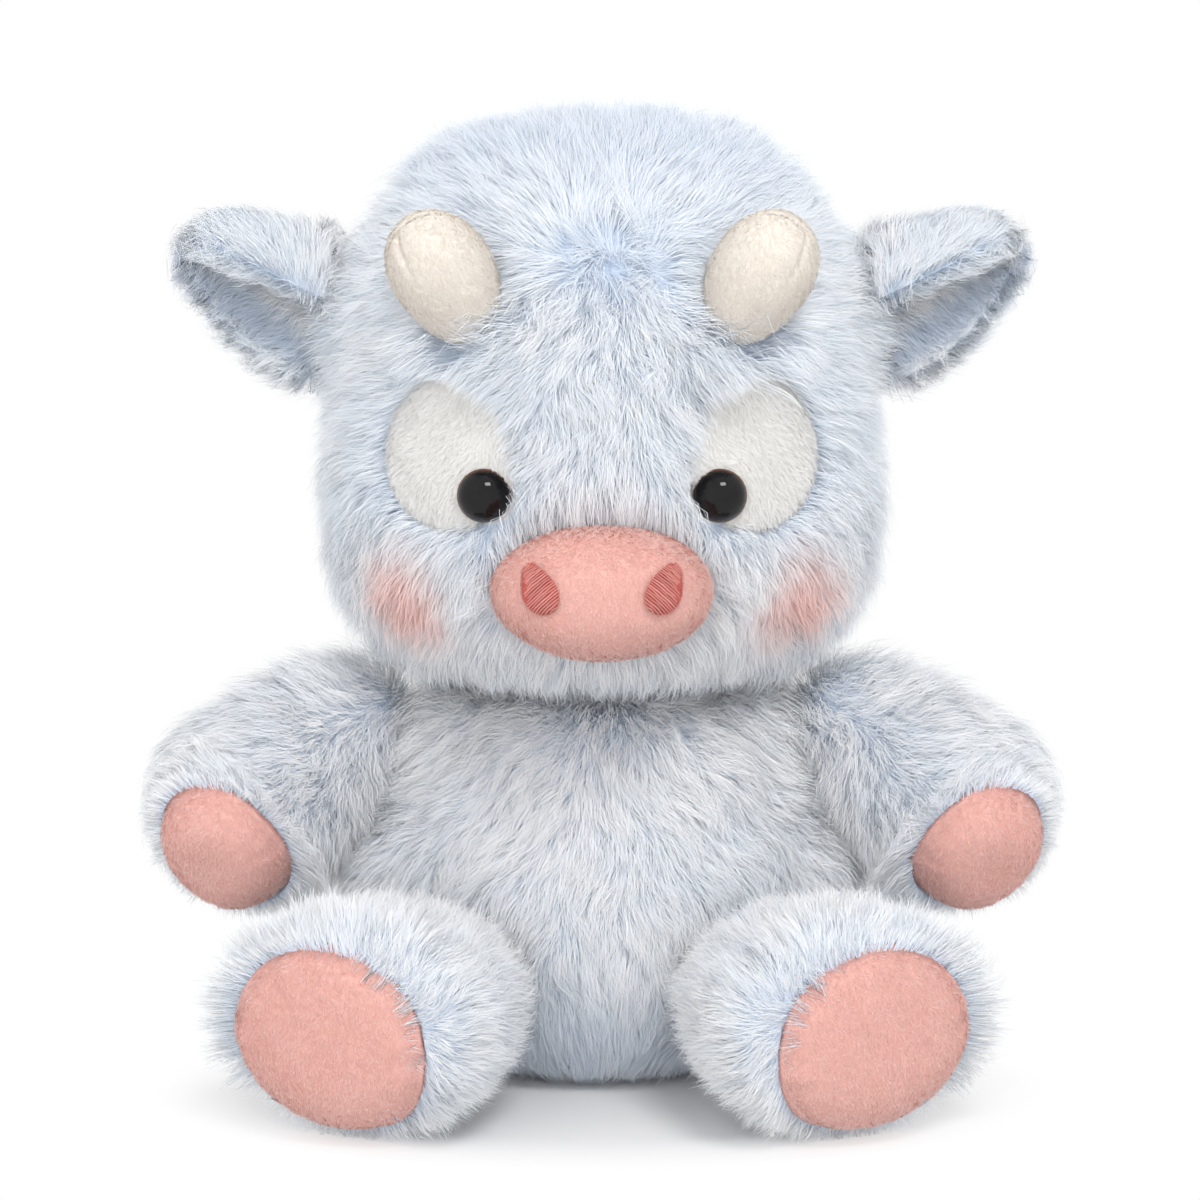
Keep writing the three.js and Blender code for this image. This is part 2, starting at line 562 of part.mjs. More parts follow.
// Body cloth with dishes where limbs and tail press in, and its stuffing
const armDish = ball(ARM_ROOT_RADIUS + SEAM_GAP, shoulder.centre);
const legDish = ball(LEG_ROOT_RADIUS + SEAM_GAP, hip.centre);
const tailDish = ball(TAIL_DIAMETER / 2 + SEAM_GAP, tailSeat);
const neckMouth = boreSolid(NECK_MOUTH / 2, new THREE.Vector3(0, 0, BODY_HEIGHT - SKIN - OVERRUN), UP,
  SKIN + 2 * OVERRUN);
const bodySkin = cutBothSides(
  cut(formSolid(bodyForm), formSolid(bodyCoreForm, SKIN), floorBlock, neckMouth, tailDish), armDish, legDish);
const bodyStuffing = formSolid(bodyCoreForm, SKIN + SEAM_GAP);

// Head cloth, open at the neck, the eye patches and the snout, with pockets in its pile for the horns
const neck = formSolid(neckForm, -SEAM_GAP);
const headInside = formSolid(headCoreForm, SKIN);
const eye = solidOf(eyeGeometry());
const hornPocket = cut(formSolid(hornForm, -SEAM_GAP), formSolid(headForm, PILE));
const headSkin = cutBothSides(
  cut(formSolid(headForm), headInside, neck, formSolid(snoutForm, -SEAM_GAP)),
  patchPlug(SEAM_GAP), solidOf(eyeGeometry(SEAM_GAP)), solidOf(washerGeometry(SEAM_GAP)), hornPocket);
const headStuffing = cutBothSides(cut(formSolid(headCoreForm, SKIN + SEAM_GAP), neck), eyePocket());

const stemEnd = eyeBase.clone().addScaledVector(eyeSeat.outward, -STEM_LENGTH);
const stemHole = boreSolid(STEM_DIAMETER / 2 + SEAM_GAP, stemEnd, eyeSeat.outward, STEM_LENGTH + OVERRUN);
const eyePatch = cut(cut(formSolid(headForm, SKIN - PATCH_CLOTH), headInside).intersect(patchPlug(0)), stemHole,
  solidOf(washerGeometry(SEAM_GAP)));

const snoutSkin = cut(formSolid(snoutForm), formSolid(snoutForm, VELOUR), headInside);
const snoutStuffing = cut(formSolid(snoutForm, VELOUR + SEAM_GAP), headInside);
const nostrilPlace = new THREE.Vector3(NOSTRIL_SPREAD / 2, -snoutFront, snoutHeight + NOSTRIL_LIFT);
const nostrilPlug = solidOf(aimed(plug(nostrilOutline(), SNOUT_REACH / 2, 5).rotateZ(-radians(NOSTRIL_TILT)),
  nostrilPlace, FRONT));
const nostril = cut(formSolid(snoutForm, -SEAM_GAP - EMBROIDERY), formSolid(snoutForm, -SEAM_GAP))
  .intersect(nostrilPlug);

const hornFloor = formSolid(headForm, PILE - SEAM_GAP);
const hornSkin = cut(formSolid(hornForm), formSolid(hornForm, VELOUR), hornFloor);
const hornStuffing = cut(formSolid(hornForm, VELOUR + SEAM_GAP), hornFloor);

const earBack = cut(solidOf(earCloth(SEAM_GAP / 2, EAR_FUR)), ...earClearance());
const earLining = cut(solidOf(earCloth(-LINING, -SEAM_GAP / 2)), ...earClearance());

// A limb's cloth, its stuffing and the velour pad at its end
function limbPieces(form, rootRadius, padWidth, padHeight, padDrop = 0) {
  const coreFacets = (count) => Math.round(count * coreFacetShare);
  const coreForm = { ...form, rings: coreFacets(form.rings), sides: coreFacets(form.sides) };
  const end = sectionAt(form, 1, 0);
  const padPlace = end.centre.clone().addScaledVector(UP, -padDrop);
  const padPlug = (extra) => solidOf(aimed(
    plug(oval(padWidth + 2 * extra, padHeight + 2 * extra), padHeight / 2, 10), padPlace, end.tangent));
  const start = sectionAt(form, 0, 0);
  const before = start.centre.clone().addScaledVector(start.tangent, -OVERRUN);
  const mouth = boreSolid(rootRadius * LIMB_MOUTH_SHARE, before, start.tangent, SKIN + 2 * OVERRUN);
  const skin = cut(formSolid(form), formSolid(coreForm, SKIN), mouth, padPlug(SEAM_GAP), floorBlock);
  const pad = cut(formSolid(coreForm, PAD_INSET), formSolid(coreForm, PAD_INSET + VELOUR))
    .intersect(padPlug(0));
  const behindPad = formSolid(coreForm, PAD_INSET + VELOUR + SEAM_GAP).intersect(padPlug(-SEAM_GAP));
  return { skin, pad, stuffing: formSolid(coreForm, SKIN + SEAM_GAP).add(behindPad) };
}
const arm = limbPieces(armForm, ARM_ROOT_RADIUS, PAW_PAD, PAW_PAD);
const leg = limbPieces(legForm, LEG_ROOT_RADIUS, FOOT_PAD_WIDTH, FOOT_PAD_HEIGHT, FOOT_PAD_DROP);

const tail = formSolid(tailForm);
const tailTuft = cut(formSolid(tuftForm), formSolid(tailForm, -SEAM_GAP));

// The cow: a group for each body that moves, with its origin on its joint
function bodyGroup(parent, pivot) {
  const group = new THREE.Group();
  group.userData.pivot = pivot;
  group.position.copy(pivot).sub(parent.userData.pivot);
  parent.add(group);
  return group;
}

function addPiece(group, name, solid, material) {
  const { x, y, z } = group.userData.pivot;
  const mesh = new THREE.Mesh(geometryOf(solid).translate(-x, -y, -z), material);
  mesh.name = name;
  group.add(mesh);
}

const cow = new THREE.Group();
cow.userData.pivot = new THREE.Vector3();
addPiece(cow, "body_skin", bodySkin, furBlue);
addPiece(cow, "body_stuffing", bodyStuffing, fibreFill);

const head = bodyGroup(cow, new THREE.Vector3(0, 0, BODY_HEIGHT));
addPiece(head, "head_skin", headSkin, furBlue);
addPiece(head, "head_stuffing", headStuffing, fibreFill);
addPiece(head, "snout_skin", snoutSkin, pinkVelour);
addPiece(head, "snout_stuffing", snoutStuffing, fibreFill);

for (const [side, sign] of [["left", 1], ["right", -1]]) {
  const halfOf = (parent) => {
    const half = bodyGroup(parent, parent.userData.pivot);
    half.scale.x = sign;
    return half;
  };
  const face = halfOf(head);
  addPiece(face, `eye_${side}`, eye, blackEye);
  addPiece(face, `eye_washer_${side}`, solidOf(washerGeometry()), washerPlastic);
  addPiece(face, `eye_patch_${side}`, eyePatch, whitePlush);
  addPiece(face, `nostril_${side}`, nostril, rosyThread);
  addPiece(face, `horn_skin_${side}`, hornSkin, creamVelour);
  addPiece(face, `horn_stuffing_${side}`, hornStuffing, fibreFill);

  const ear = bodyGroup(face, earPivot);
  addPiece(ear, `ear_back_${side}`, earBack, furBlue);
  addPiece(ear, `ear_lining_${side}`, earLining, furLining);

  const trunk = halfOf(cow);
  const armGroup = bodyGroup(trunk, shoulder.centre);
  addPiece(armGroup, `arm_skin_${side}`, arm.skin, furBlue);
  addPiece(armGroup, `arm_stuffing_${side}`, arm.stuffing, fibreFill);
  addPiece(armGroup, `paw_pad_${side}`, arm.pad, pinkVelour);

  const legGroup = bodyGroup(trunk, hip.centre);
  addPiece(legGroup, `leg_skin_${side}`, leg.skin, furBlue);
  addPiece(legGroup, `leg_stuffing_${side}`, leg.stuffing, fibreFill);
  addPiece(legGroup, `foot_pad_${side}`, leg.pad, pinkVelour);
}

const tailGroup = bodyGroup(cow, tailSeat);
addPiece(tailGroup, "tail", tail, furBlue);
addPiece(tailGroup, "tail_tuft", tailTuft, tuftFur);

// The origin is on the floor, under the middle of the whole toy
const extent = new THREE.Box3().setFromObject(cow);
cow.position.y = -(extent.min.y + extent.max.y) / 2;

export default cow;
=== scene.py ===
"""Looks of the sitting plush cow: fur, velour, stitching, eyes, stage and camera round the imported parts."""

import math
from typing import NamedTuple

import bmesh
import bpy
import numpy as np
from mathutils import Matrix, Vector
from mathutils.bvhtree import BVHTree
from mathutils.kdtree import KDTree


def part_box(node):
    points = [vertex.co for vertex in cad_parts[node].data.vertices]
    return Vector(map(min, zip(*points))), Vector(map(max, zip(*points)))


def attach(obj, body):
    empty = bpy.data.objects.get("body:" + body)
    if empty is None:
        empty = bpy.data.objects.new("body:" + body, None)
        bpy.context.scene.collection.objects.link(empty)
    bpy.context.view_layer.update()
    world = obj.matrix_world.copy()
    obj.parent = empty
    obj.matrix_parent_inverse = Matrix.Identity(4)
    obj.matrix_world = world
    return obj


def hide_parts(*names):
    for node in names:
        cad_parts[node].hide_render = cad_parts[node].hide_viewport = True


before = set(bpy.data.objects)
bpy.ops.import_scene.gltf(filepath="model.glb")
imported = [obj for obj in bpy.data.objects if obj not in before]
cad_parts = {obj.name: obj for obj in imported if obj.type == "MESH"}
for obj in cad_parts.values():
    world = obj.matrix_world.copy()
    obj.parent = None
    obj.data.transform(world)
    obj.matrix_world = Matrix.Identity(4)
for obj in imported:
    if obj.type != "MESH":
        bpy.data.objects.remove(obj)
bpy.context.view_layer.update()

MM = 0.001
UP = np.array((0.0, 0.0, 1.0))
SIDES = (("left", 1), ("right", -1))
MOST_FACES = 190000
FLOOR_CLEARANCE = 0.35

GROWN_SHARE = 1
GROWN_WIDTH = 1

# Camera, in mm and degrees.
VIEW_TARGET = (-0.5, 11.1, 127)
VIEW_DISTANCE = 1250
VIEW_ELEVATION = 8
VIEW_LENS = 138.75
SENSOR_WIDTH = 36
CLIP_RANGE = (0.05, 50)

# Floor that fades to white, in m, and how bright the floor and the room look.
FLOOR_MIDDLE = (0, 0.03, 0)
FLOOR_STRETCH = 1.42
FLOOR_NEAR, FLOOR_FAR = 0.08, 0.12
FLOOR_GLOW = 0.76
ROOM_LIGHT = 0.71
FLOOR_SIZE = 6
NOISE_ROUGHNESS = 0.55

# Soft boxes, in m and W: name, place, width, height and power. They face the toy's middle.
LAMP_AIM = (0, 0, 0.12)
LAMPS = (
    ("key", (0.3, -0.95, 1.2), 0.46, 0.32, 6.8),
    ("front", (-0.4, -2.3, 0.6), 4.0, 2.2, 41),
    ("back", (0.4, 2.0, 0.9), 2.6, 1.6, 14),
)

# Fur, in mm. Strands grow out of a cloth that lies below the pile.
STATIONS = (0, 0.45, 1)
BEND_LOW, BEND_HIGH = 0.5, 0.86
CLUMP_SHARES = (0, 0.4, 0.9)
WIDTH_SHARES = (1, 0.85)
FRIZZ_SHARES = (0, 0.45, 1)
TWIST = 0.6
CORNERS = 5
STRAND_FACES = 3
CLOTH_DEPTH = 6.0
ARM_DEPTH = 4.0
SOFT_SHADE = 0.4
BACK_DENSITY, WIDER_BACK = 0.6, -0.6
EAR_SCALE = 0.92
CLUMP_TURN = 0.22
CLUMP_SIZES = (0.72, 1.2)
STRAND_SIZES = (0.65, 1.15)
STRAND_RISES = (0.6, 1.12)
STRAND_WIDTHS = (0.65, 1.3)
SMOOTHING_STEPS = (0.6, -0.62)
WAVE_COUNT, WAVE_SIZES, WAVE_HEIGHT = 6, (0.7, 1.6), 2.4
SWAY_SIZE = 14
SEAM_SHORTENS, SEAM_RAISES = 0.5, 0.1
WOBBLE = 0.3
CLUMP_TINT, STRAND_TINT = 0.35, 0.65
OFF_SURFACE = 9.0

# Colours, linear.
FUR_ROOT = (0.66, 0.76, 0.90, 1)
FUR_BLUE = (0.80, 0.87, 0.95, 1)
FUR_WHITE = (0.97, 0.97, 0.98, 1)
# Painted shade: a deeper blue that the pile takes in the ear hollows, low on the belly, at the whorl's parting
# and on the crown.
PAINTED_SHADE_BLUE = (0.46, 0.56, 0.72, 1)
BLUSH_PINK = (1.0, 0.65, 0.60, 1)
CLOTH_BLUE = (0.70, 0.79, 0.90, 1)


def to_linear(*colours):
    """Colours given as sRGB numbers of 0 to 255, as the shader takes them."""
    def channel(value):
        share = value / 255
        return share / 12.92 if share <= 0.04045 else ((share + 0.055) / 1.055) ** 2.4

    return [(*map(channel, colour), 1) for colour in colours]


def unit(vectors):
    return vectors / np.maximum(np.linalg.norm(vectors, axis=-1, keepdims=True), 1e-9)


def norms(vectors):
    return np.linalg.norm(vectors, axis=1)


def ramp(low, high, value):
    """A smooth share that runs from 0 at the low value to 1 at the high one."""
    share = np.clip((value - low) / (high - low), 0, 1)
    return share * share * (3 - 2 * share)


def node_mesh(*names):
    """Corners and triangles of CAD nodes, joined, in mm."""
    points, faces, start = [], [], 0
    for name in names:
        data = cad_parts[name].data
        corners = np.empty(len(data.vertices) * 3)
        data.vertices.foreach_get("co", corners)
        data.calc_loop_triangles()
        triangles = np.empty(len(data.loop_triangles) * 3, int)
        data.loop_triangles.foreach_get("vertices", triangles)
        points.append(corners.reshape(-1, 3) / MM)
        faces.append(triangles.reshape(-1, 3) + start)
        start += len(data.vertices)
    return np.concatenate(points), np.concatenate(faces)


def tree_of(points, faces):
    return BVHTree.FromPolygons(points.tolist(), faces.tolist())


def box_middle(name):
    low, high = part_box(name)
    return np.array((low + high) / 2) / MM


class Form:
    """A surface that pieces are laid on, in mm."""

    def __init__(self, points, faces):
        self.points = points
        self.faces = faces
        self.tree = tree_of(points, faces)
        corners = points[faces]
        cross = np.cross(corners[:, 1] - corners[:, 0], corners[:, 2] - corners[:, 0])
        self.area = norms(cross) / 2
        normals = np.zeros_like(points)
        for k in range(3):
            np.add.at(normals, faces[:, k], cross)
        self.normals = unit(normals)

    def scatter(self, count, rng):
        """Evenly spread points of the surface, with their normals."""
        total = np.cumsum(self.area)
        spots = (np.arange(count) + rng.random(count)) / count * total[-1]
        which = np.minimum(np.searchsorted(total, spots), len(total) - 1)
        u, v = rng.random((2, count))
        u, v = np.where(u + v > 1, (1 - u, 1 - v), (u, v))
        shares = np.stack((1 - u - v, u, v), 1)[:, :, None]
        corners = self.faces[which]
        return (self.points[corners] * shares).sum(1), unit((self.normals[corners] * shares).sum(1))

    def settle(self, points):
        """The nearest place on the surface to each point, and its smooth normal."""
        find = self.tree.find_nearest
        found = [find(p) for p in points.tolist()]
        spots = np.array([f[0][:] for f in found])
        corners = self.faces[np.array([f[2] for f in found])]
        a, b, c = (self.points[corners[:, k]] for k in range(3))
        whole = np.cross(b - a, c - a)
        scale = np.maximum((whole * whole).sum(1), 1e-12)
        u = (np.cross(c - b, spots - b) * whole).sum(1) / scale
        v = (np.cross(a - c, spots - c) * whole).sum(1) / scale
        shares = np.stack((u, v, 1 - u - v), 1)[:, :, None]
        return spots, unit((self.normals[corners] * shares).sum(1))

    def sunk(self, depth):
        return Form(self.points - self.normals * depth, self.faces)


def edges_of(faces):
    edges = np.concatenate((faces[:, :2], faces[:, 1:], faces[:, ::2]))
    return np.unique(np.sort(edges, axis=1), axis=0)


def relaxed(points, faces, times):
    """The points after smoothing, with the size kept."""
    edges = edges_of(faces)
    count = np.bincount(edges.ravel(), minlength=len(points))[:, None]
    for step in SMOOTHING_STEPS * times:
        total = np.zeros_like(points)
        np.add.at(total, edges[:, 0], points[edges[:, 1]])
        np.add.at(total, edges[:, 1], points[edges[:, 0]])
        points = points + step * (total / count - points)
    return points


def sphere_mesh(detail):
    bm = bmesh.new()
    bmesh.ops.create_icosphere(bm, subdivisions=detail, radius=1)
    points = np.array([v.co[:] for v in bm.verts])
    faces = np.array([[v.index for v in f.verts] for f in bm.faces])
    bm.free()
    return points, faces


def even(values, faces, times):
    """Numbers on corners after averaging with their neighbours."""
    edges = edges_of(faces)
    count = np.bincount(edges.ravel(), minlength=len(values))
    for _ in range(times):
        total = np.bincount(edges[:, 0], values[edges[:, 1]], len(values))
        total += np.bincount(edges[:, 1], values[edges[:, 0]], len(values))
        values = (values + total / count) / 2
    return values


def star_form(names, smooth, detail=6):
    """An even closed surface round CAD nodes, as seen from all sides."""
    points, faces = node_mesh(*names)
    tree = tree_of(points, faces)
    low, high = points.min(0), points.max(0)
    middle, half = (low + high) / 2, (high - low) / 2
    ways, triangles = sphere_mesh(detail)
    share = []
    for way in ways * half:
        hit = tree.ray_cast(Vector(middle + way * 3), Vector(-way))[0]
        hit = hit or tree.find_nearest(Vector(middle + way))[0]
        share.append(np.linalg.norm(np.array(hit) - middle) / np.linalg.norm(way))
    share = even(np.array(share), triangles, smooth)
    return Form(middle + ways * half * share[:, None], triangles)


def add_object(name, data):
    thing = bpy.data.objects.new(name, data)
    bpy.context.scene.collection.objects.link(thing)
    return thing


def solid_form(names, voxel, smooth):
    """A closed surface round CAD nodes of any shape, remeshed, without what lies inside."""
    points, faces = node_mesh(*names)
    data = bpy.data.meshes.new("solid")
    data.from_pydata((points * MM).tolist(), [], faces.tolist())
    thing = add_object("solid", data)
    remesh = thing.modifiers.new("remesh", "REMESH")
    remesh.mode = "VOXEL"
    remesh.voxel_size = voxel * MM
    shaped = bpy.data.meshes.new_from_object(thing.evaluated_get(bpy.context.evaluated_depsgraph_get()))
    bm = bmesh.new()
    bm.from_mesh(shaped)
    bmesh.ops.triangulate(bm, faces=bm.faces)
    keep_outside(bm)
    bm.verts.index_update()
    corners = np.array([v.co[:] for v in bm.verts]) / MM
    triangles = np.array([[v.index for v in f.verts] for f in bm.faces])
    bm.free()
    bpy.data.objects.remove(thing)
    bpy.data.meshes.remove(data)
    bpy.data.meshes.remove(shaped)
    return Form(relaxed(corners, triangles, smooth), triangles)


def keep_outside(bm):
    """Deletes all but the largest connected surface."""
    left, groups = set(bm.verts), []
    while left:
        found = [left.pop()]
        for vert in found:
            for edge in vert.link_edges:
                other = edge.other_vert(vert)
                if other in left:
                    left.remove(other)
                    found.append(other)
        groups.append(found)
    groups.sort(key=len)
    for group in groups[:-1]:
        bmesh.ops.delete(bm, geom=group, context="VERTS")


def link(data, name, material):
    data.materials.append(material)
    return add_object(name, data)


def surface_piece(name, points, faces, material):
    """A smooth-shaded piece from points in mm and faces of any size."""
    data = bpy.data.meshes.new(name)
    data.from_pydata((np.asarray(points) * MM).tolist(), [], [list(map(int, f)) for f in faces])
    data.shade_smooth()
    return link(data, name, material)


def set_attribute(data, name, values):
    data.attributes.new(name, "FLOAT", "POINT").data.foreach_set("value", values.astype(np.float32))


def waves(points, size, seed):
    """A smooth random number of about -1 to 1 for each point, on patches of a size in mm."""
    rng = np.random.default_rng(seed)
    total = np.zeros(len(points))
    for _ in range(WAVE_COUNT):
        way = unit(rng.normal(size=3)) * 2 * math.pi / (size * rng.uniform(*WAVE_SIZES))
        total += np.sin(points @ way + rng.uniform(0, 2 * math.pi))
    return total / WAVE_HEIGHT


def turned(vectors, normals, angle):
    """The vectors turned in the surface by an angle each."""
    across = np.cross(normals, vectors)
    return vectors * np.cos(angle)[:, None] + across * np.sin(angle)[:, None]


def tangent(vectors, normals):
    return unit(vectors - normals * (vectors * normals).sum(1)[:, None])


class Coat(NamedTuple):
    """How one kind of pile grows: strands per square mm, lengths in mm up to frizz, then angles and shares."""

    density: float
    reach: float
    rise: float
    width: float
    clump: float
    frizz: float
    sway: float
    hold: float = 0.6
    mess: float = 0.3
    soft: float = SOFT_SHADE
    airy: float = 0.0


LONG_COAT = Coat(4.8, 8.6, 8.4, 0.145, 2.2, 0.8, 0.35)
LIMB_COAT = Coat(5.4, 5.5, 7.6, 0.14, 1.7, 0.7, 0.4, hold=0.5, mess=0.45)
SMOOTH_COAT = Coat(5.6, 8.6, 6.6, 0.14, 1.8, 0.45, 0.3, hold=0.45, mess=0.2, airy=0.2)
EAR_COAT = Coat(7.5, 7, 5.0, 0.14, 1.6, 0.5, 0.3, soft=0.25, airy=0.45)
TUFT_COAT = Coat(7, 11, 4.5, 0.15, 2.6, 0.8, 0.2, hold=0.9)
SHORT_COAT = Coat(9.5, 2.2, 1.5, 0.14, 1.2, 0.25, 0.3, soft=0.6)
NAP_COAT = Coat(7, 1.2, 0.6, 0.14, 1.2, 0.12, 0.4, hold=0.3, soft=0.6)


def walk(form, roots, normals, ways, lengths, rises, bend):
    """Points of strands that lean along the surface. Bend is the share of the rise that is done halfway."""
    points = [roots]
    spots, ups = roots, normals
    for k in range(1, len(STATIONS)):
        step = (STATIONS[k] - STATIONS[k - 1]) * lengths
        spots, ups = form.settle(spots + ways * step[:, None])
        ways = tangent(ways, ups)
        points.append(spots + ups * (rises * (bend if k == 1 else 1))[:, None])
    return np.stack(points, 1)


def standing(points, zones):
    """How far each point's pile stands up, because a seam is next to it."""
    shares = [ramp(zone.stand_to, 1.0, zone.share(points)) for zone in zones]
    return np.max(shares, axis=0) if shares else np.zeros(len(points))


def everywhere(points):
    return np.ones(len(points), bool)


def strands(form, comb, coat, rng, keep, zones, thin_back, lift):
    """Paths of a coat's strands, with each one's normal, clump and width share."""
    roots, normals = form.scatter(int(form.area.sum() * coat.density * GROWN_SHARE), rng)
    kept = keep(roots)
    wide = np.ones(len(roots))
    if thin_back:
        dense = BACK_DENSITY + (1 - BACK_DENSITY) * ramp(-0.5, 0.1, -normals[:, 1])
        kept &= rng.random(len(roots)) < dense
        wide = dense ** WIDER_BACK
    roots, normals, wide = roots[kept], normals[kept], wide[kept]
    middles, middle_normals = form.scatter(int(form.area.sum() / coat.clump ** 2), rng)
    kept = keep(middles)
    middles, middle_normals = middles[kept], middle_normals[kept]
    tree = KDTree(len(middles))
    for k, p in enumerate(middles.tolist()):
        tree.insert(p, k)
    tree.balance()
    clump_of = np.array([tree.find(p)[1] for p in roots.tolist()])

    def laid(points, ups, angle, size, rise, bend):
        ways = tangent(comb(points, ups), ups)
        ways = turned(ways, ups, waves(points, SWAY_SIZE, 7) * coat.sway + angle)
        stand = standing(points, zones)
        lengths = coat.reach * size * (1 - SEAM_SHORTENS * stand)
        rises = coat.rise * rise * (1 + SEAM_RAISES * stand) * lift(points)
        return walk(form, points, ups, ways, lengths, rises, bend)

    clump_angle = rng.normal(0, CLUMP_TURN, len(middles))
    clump_size = rng.uniform(*CLUMP_SIZES, len(middles))
    clump_bend = rng.uniform(BEND_LOW, BEND_HIGH, len(middles))
    lead = laid(middles, middle_normals, clump_angle, clump_size, clump_size, clump_bend)
    angle = clump_angle[clump_of] + rng.normal(0, coat.mess, len(roots))
    size = clump_size[clump_of] * rng.uniform(*STRAND_SIZES, len(roots))
    rise = clump_size[clump_of] * rng.uniform(*STRAND_RISES, len(roots))
    bend = rng.uniform(BEND_LOW, BEND_HIGH, len(roots))
    paths = laid(roots, normals, angle, size, rise, bend)
    hold = (coat.hold * rng.random(len(middles)))[clump_of]
    pull = hold[:, None, None] * np.array(CLUMP_SHARES)[None, :, None]
    paths = paths + (lead[clump_of] - paths) * pull
    noise = rng.normal(0, coat.frizz, (len(roots), 1, 3)) * np.array(FRIZZ_SHARES)[None, :, None]
    wobble = rng.normal(0, WOBBLE * coat.frizz, paths.shape) * np.array((0, 1, 0.5))[None, :, None]
    paths = trimmed(paths + noise + wobble, zones)
    paths[:, :, 2] = np.maximum(paths[:, :, 2], FLOOR_CLEARANCE)
    kept = everywhere(paths)
    for zone in zones:
        if zone.drop:
            kept &= zone.share(paths[:, -1]) > zone.trim
    return paths[kept], normals[kept], clump_of[kept], wide[kept]


def strand_mesh(name, paths, normals, widths, coat, extras, material):
    """One mesh of flat tapered strands, a quad and a triangle each, shaded partly as the surface is."""
    count = len(paths)
    ahead = unit(paths[:, 1:] - paths[:, :-1])
    across = unit(np.cross(ahead, normals[:, None]))
    rng = np.random.default_rng(count)
    twist = rng.uniform(-TWIST, TWIST, count)[:, None, None]
    side = across * np.cos(twist) + np.cross(across, ahead) * np.sin(twist)
    half = side * (widths[:, None, None] * np.array(WIDTH_SHARES)[None, :, None] / 2)
    corners = np.empty((count, CORNERS, 3))
    corners[:, (0, 2)] = paths[:, :2] - half
    corners[:, (1, 3)] = paths[:, :2] + half
    corners[:, 4] = paths[:, 2]
    data = bpy.data.meshes.new(name)
    data.vertices.add(count * CORNERS)
    data.vertices.foreach_set("co", (corners * MM).astype(np.float32).ravel())
    pattern = np.array((0, 1, 3, 2, 2, 3, 4))
    loops = (np.arange(count)[:, None] * CORNERS + pattern[None]).ravel()
    data.loops.add(len(loops))
    data.loops.foreach_set("vertex_index", loops.astype(np.int32))
    data.polygons.add(count * 2)
    starts = (np.arange(count)[:, None] * len(pattern) + np.array((0, 4))[None]).ravel()
    data.polygons.foreach_set("loop_start", starts.astype(np.int32))
    data.update(calc_edges=True)
    along = np.array([STATIONS[k] for k in (0, 0, 1, 1, 2)])
    set_attribute(data, "pile", np.tile(along, count))
    for key, values in extras.items():
        set_attribute(data, key, np.repeat(values, CORNERS))
    lay_out(data, count, pattern, along)
    data.shade_smooth()
    own = np.cross(side, ahead)[:, (0, 0, 1, 1, 1)]
    shade = unit(own * (1 - coat.soft) + normals[:, None] * coat.soft + UP * coat.airy)
    normal = data.attributes.new("custom_normal", "FLOAT_VECTOR", "POINT")
    normal.data.foreach_set("vector", shade.astype(np.float32).ravel())
    return link(data, name, material)


def lay_out(data, count, pattern, along):
    """A map with a small upright field for each strand, root at the bottom."""
    columns = max(1, int(math.sqrt(count * 2)))
    rows = -(-count // columns)
    index = np.arange(count)
    left = (index % columns)[:, None] + np.array((0.15, 0.85, 0.2, 0.8, 0.5))[None]
    low = (index // columns)[:, None] + 0.08 + 0.84 * along[None]
    uv = np.stack((left / columns, low / rows), 2)[:, pattern]
    data.uv_layers.new(name="OFBake").uv.foreach_set("vector", uv.astype(np.float32).ravel())


def fringe(zone, coat, rows, rng):
    """Strands rooted along a seam round a zone, which lean out from it and a little forwards."""
    around = math.pi * (zone.half[0] + zone.half[1])
    count = int(around * rows * coat.density * GROWN_SHARE)
    clumps = int(around / coat.clump) * 2
    clump_of = rng.integers(0, clumps, count)
    angle = (clump_of + rng.normal(0.5, 0.6, count)) / clumps * 2 * math.pi
    depth = rng.random(count)
    rim = zone.place(1.0, angle)
    roots = rim - zone.axis * (rows * depth)[:, None]
    out = unit(rim - zone.middle)
    lean = 0.12 - 0.42 * depth + rng.normal(0, 0.12, count) + rng.normal(0, 0.08, clumps)[clump_of]
    astray = rng.normal(0, 0.2, count) + rng.normal(0, 0.25, clumps)[clump_of]
    lean, astray = lean[:, None], astray[:, None]
    ways = unit(out + zone.axis * lean + np.cross(out, zone.axis) * astray)
    length = coat.rise * rng.uniform(0.65, 1.05, count)[:, None]
    middle = roots + ways * length * 0.5 + zone.axis * (0.5 * lean)
    paths = np.stack((roots, middle, roots + ways * length), 1)
    paths[:, 1:] += rng.normal(0, 0.35 * coat.frizz, (count, 2, 3))
    paths[:, :, 2] = np.maximum(paths[:, :, 2], FLOOR_CLEARANCE)
    normals = unit(zone.axis * (0.3 + lean) + out * 0.7)
    return paths, normals, clump_of, np.ones(count)


def grow(name, body, form, comb, coat, seed, slot, tones,
         keep=everywhere, zones=(), thin_back=False, rims=(), lift=lambda points: 1):
    """Pile of one form, in as many pieces as its faces need."""
    rng = np.random.default_rng(seed)
    sets = [strands(form, comb, coat, rng, keep, zones, thin_back, lift)]
    sets += [fringe(zone, coat, rows, rng) for zone, rows in rims]
    paths, normals, clump_of, wide = (np.concatenate([s[k] for s in sets]) for k in range(4))
    widths = coat.width * GROWN_WIDTH * wide * rng.uniform(*STRAND_WIDTHS, len(paths))
    tints = CLUMP_TINT * rng.random(clump_of.max() + 1)[clump_of] + STRAND_TINT * rng.random(len(paths))
    extras = {"tint": tints, **tones(paths[:, 0])}
    order = rng.permutation(len(paths))
    parts = -(-STRAND_FACES * len(paths) // MOST_FACES)
    for k in range(parts):
        mine = order[k::parts]
        chosen = {key: values[mine] for key, values in extras.items()}
        label = name if parts == 1 else f"{name}_{k + 1}"
        piece = strand_mesh(label, paths[mine], normals[mine], widths[mine], coat, chosen, PILES[slot][0])
        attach(piece, body)


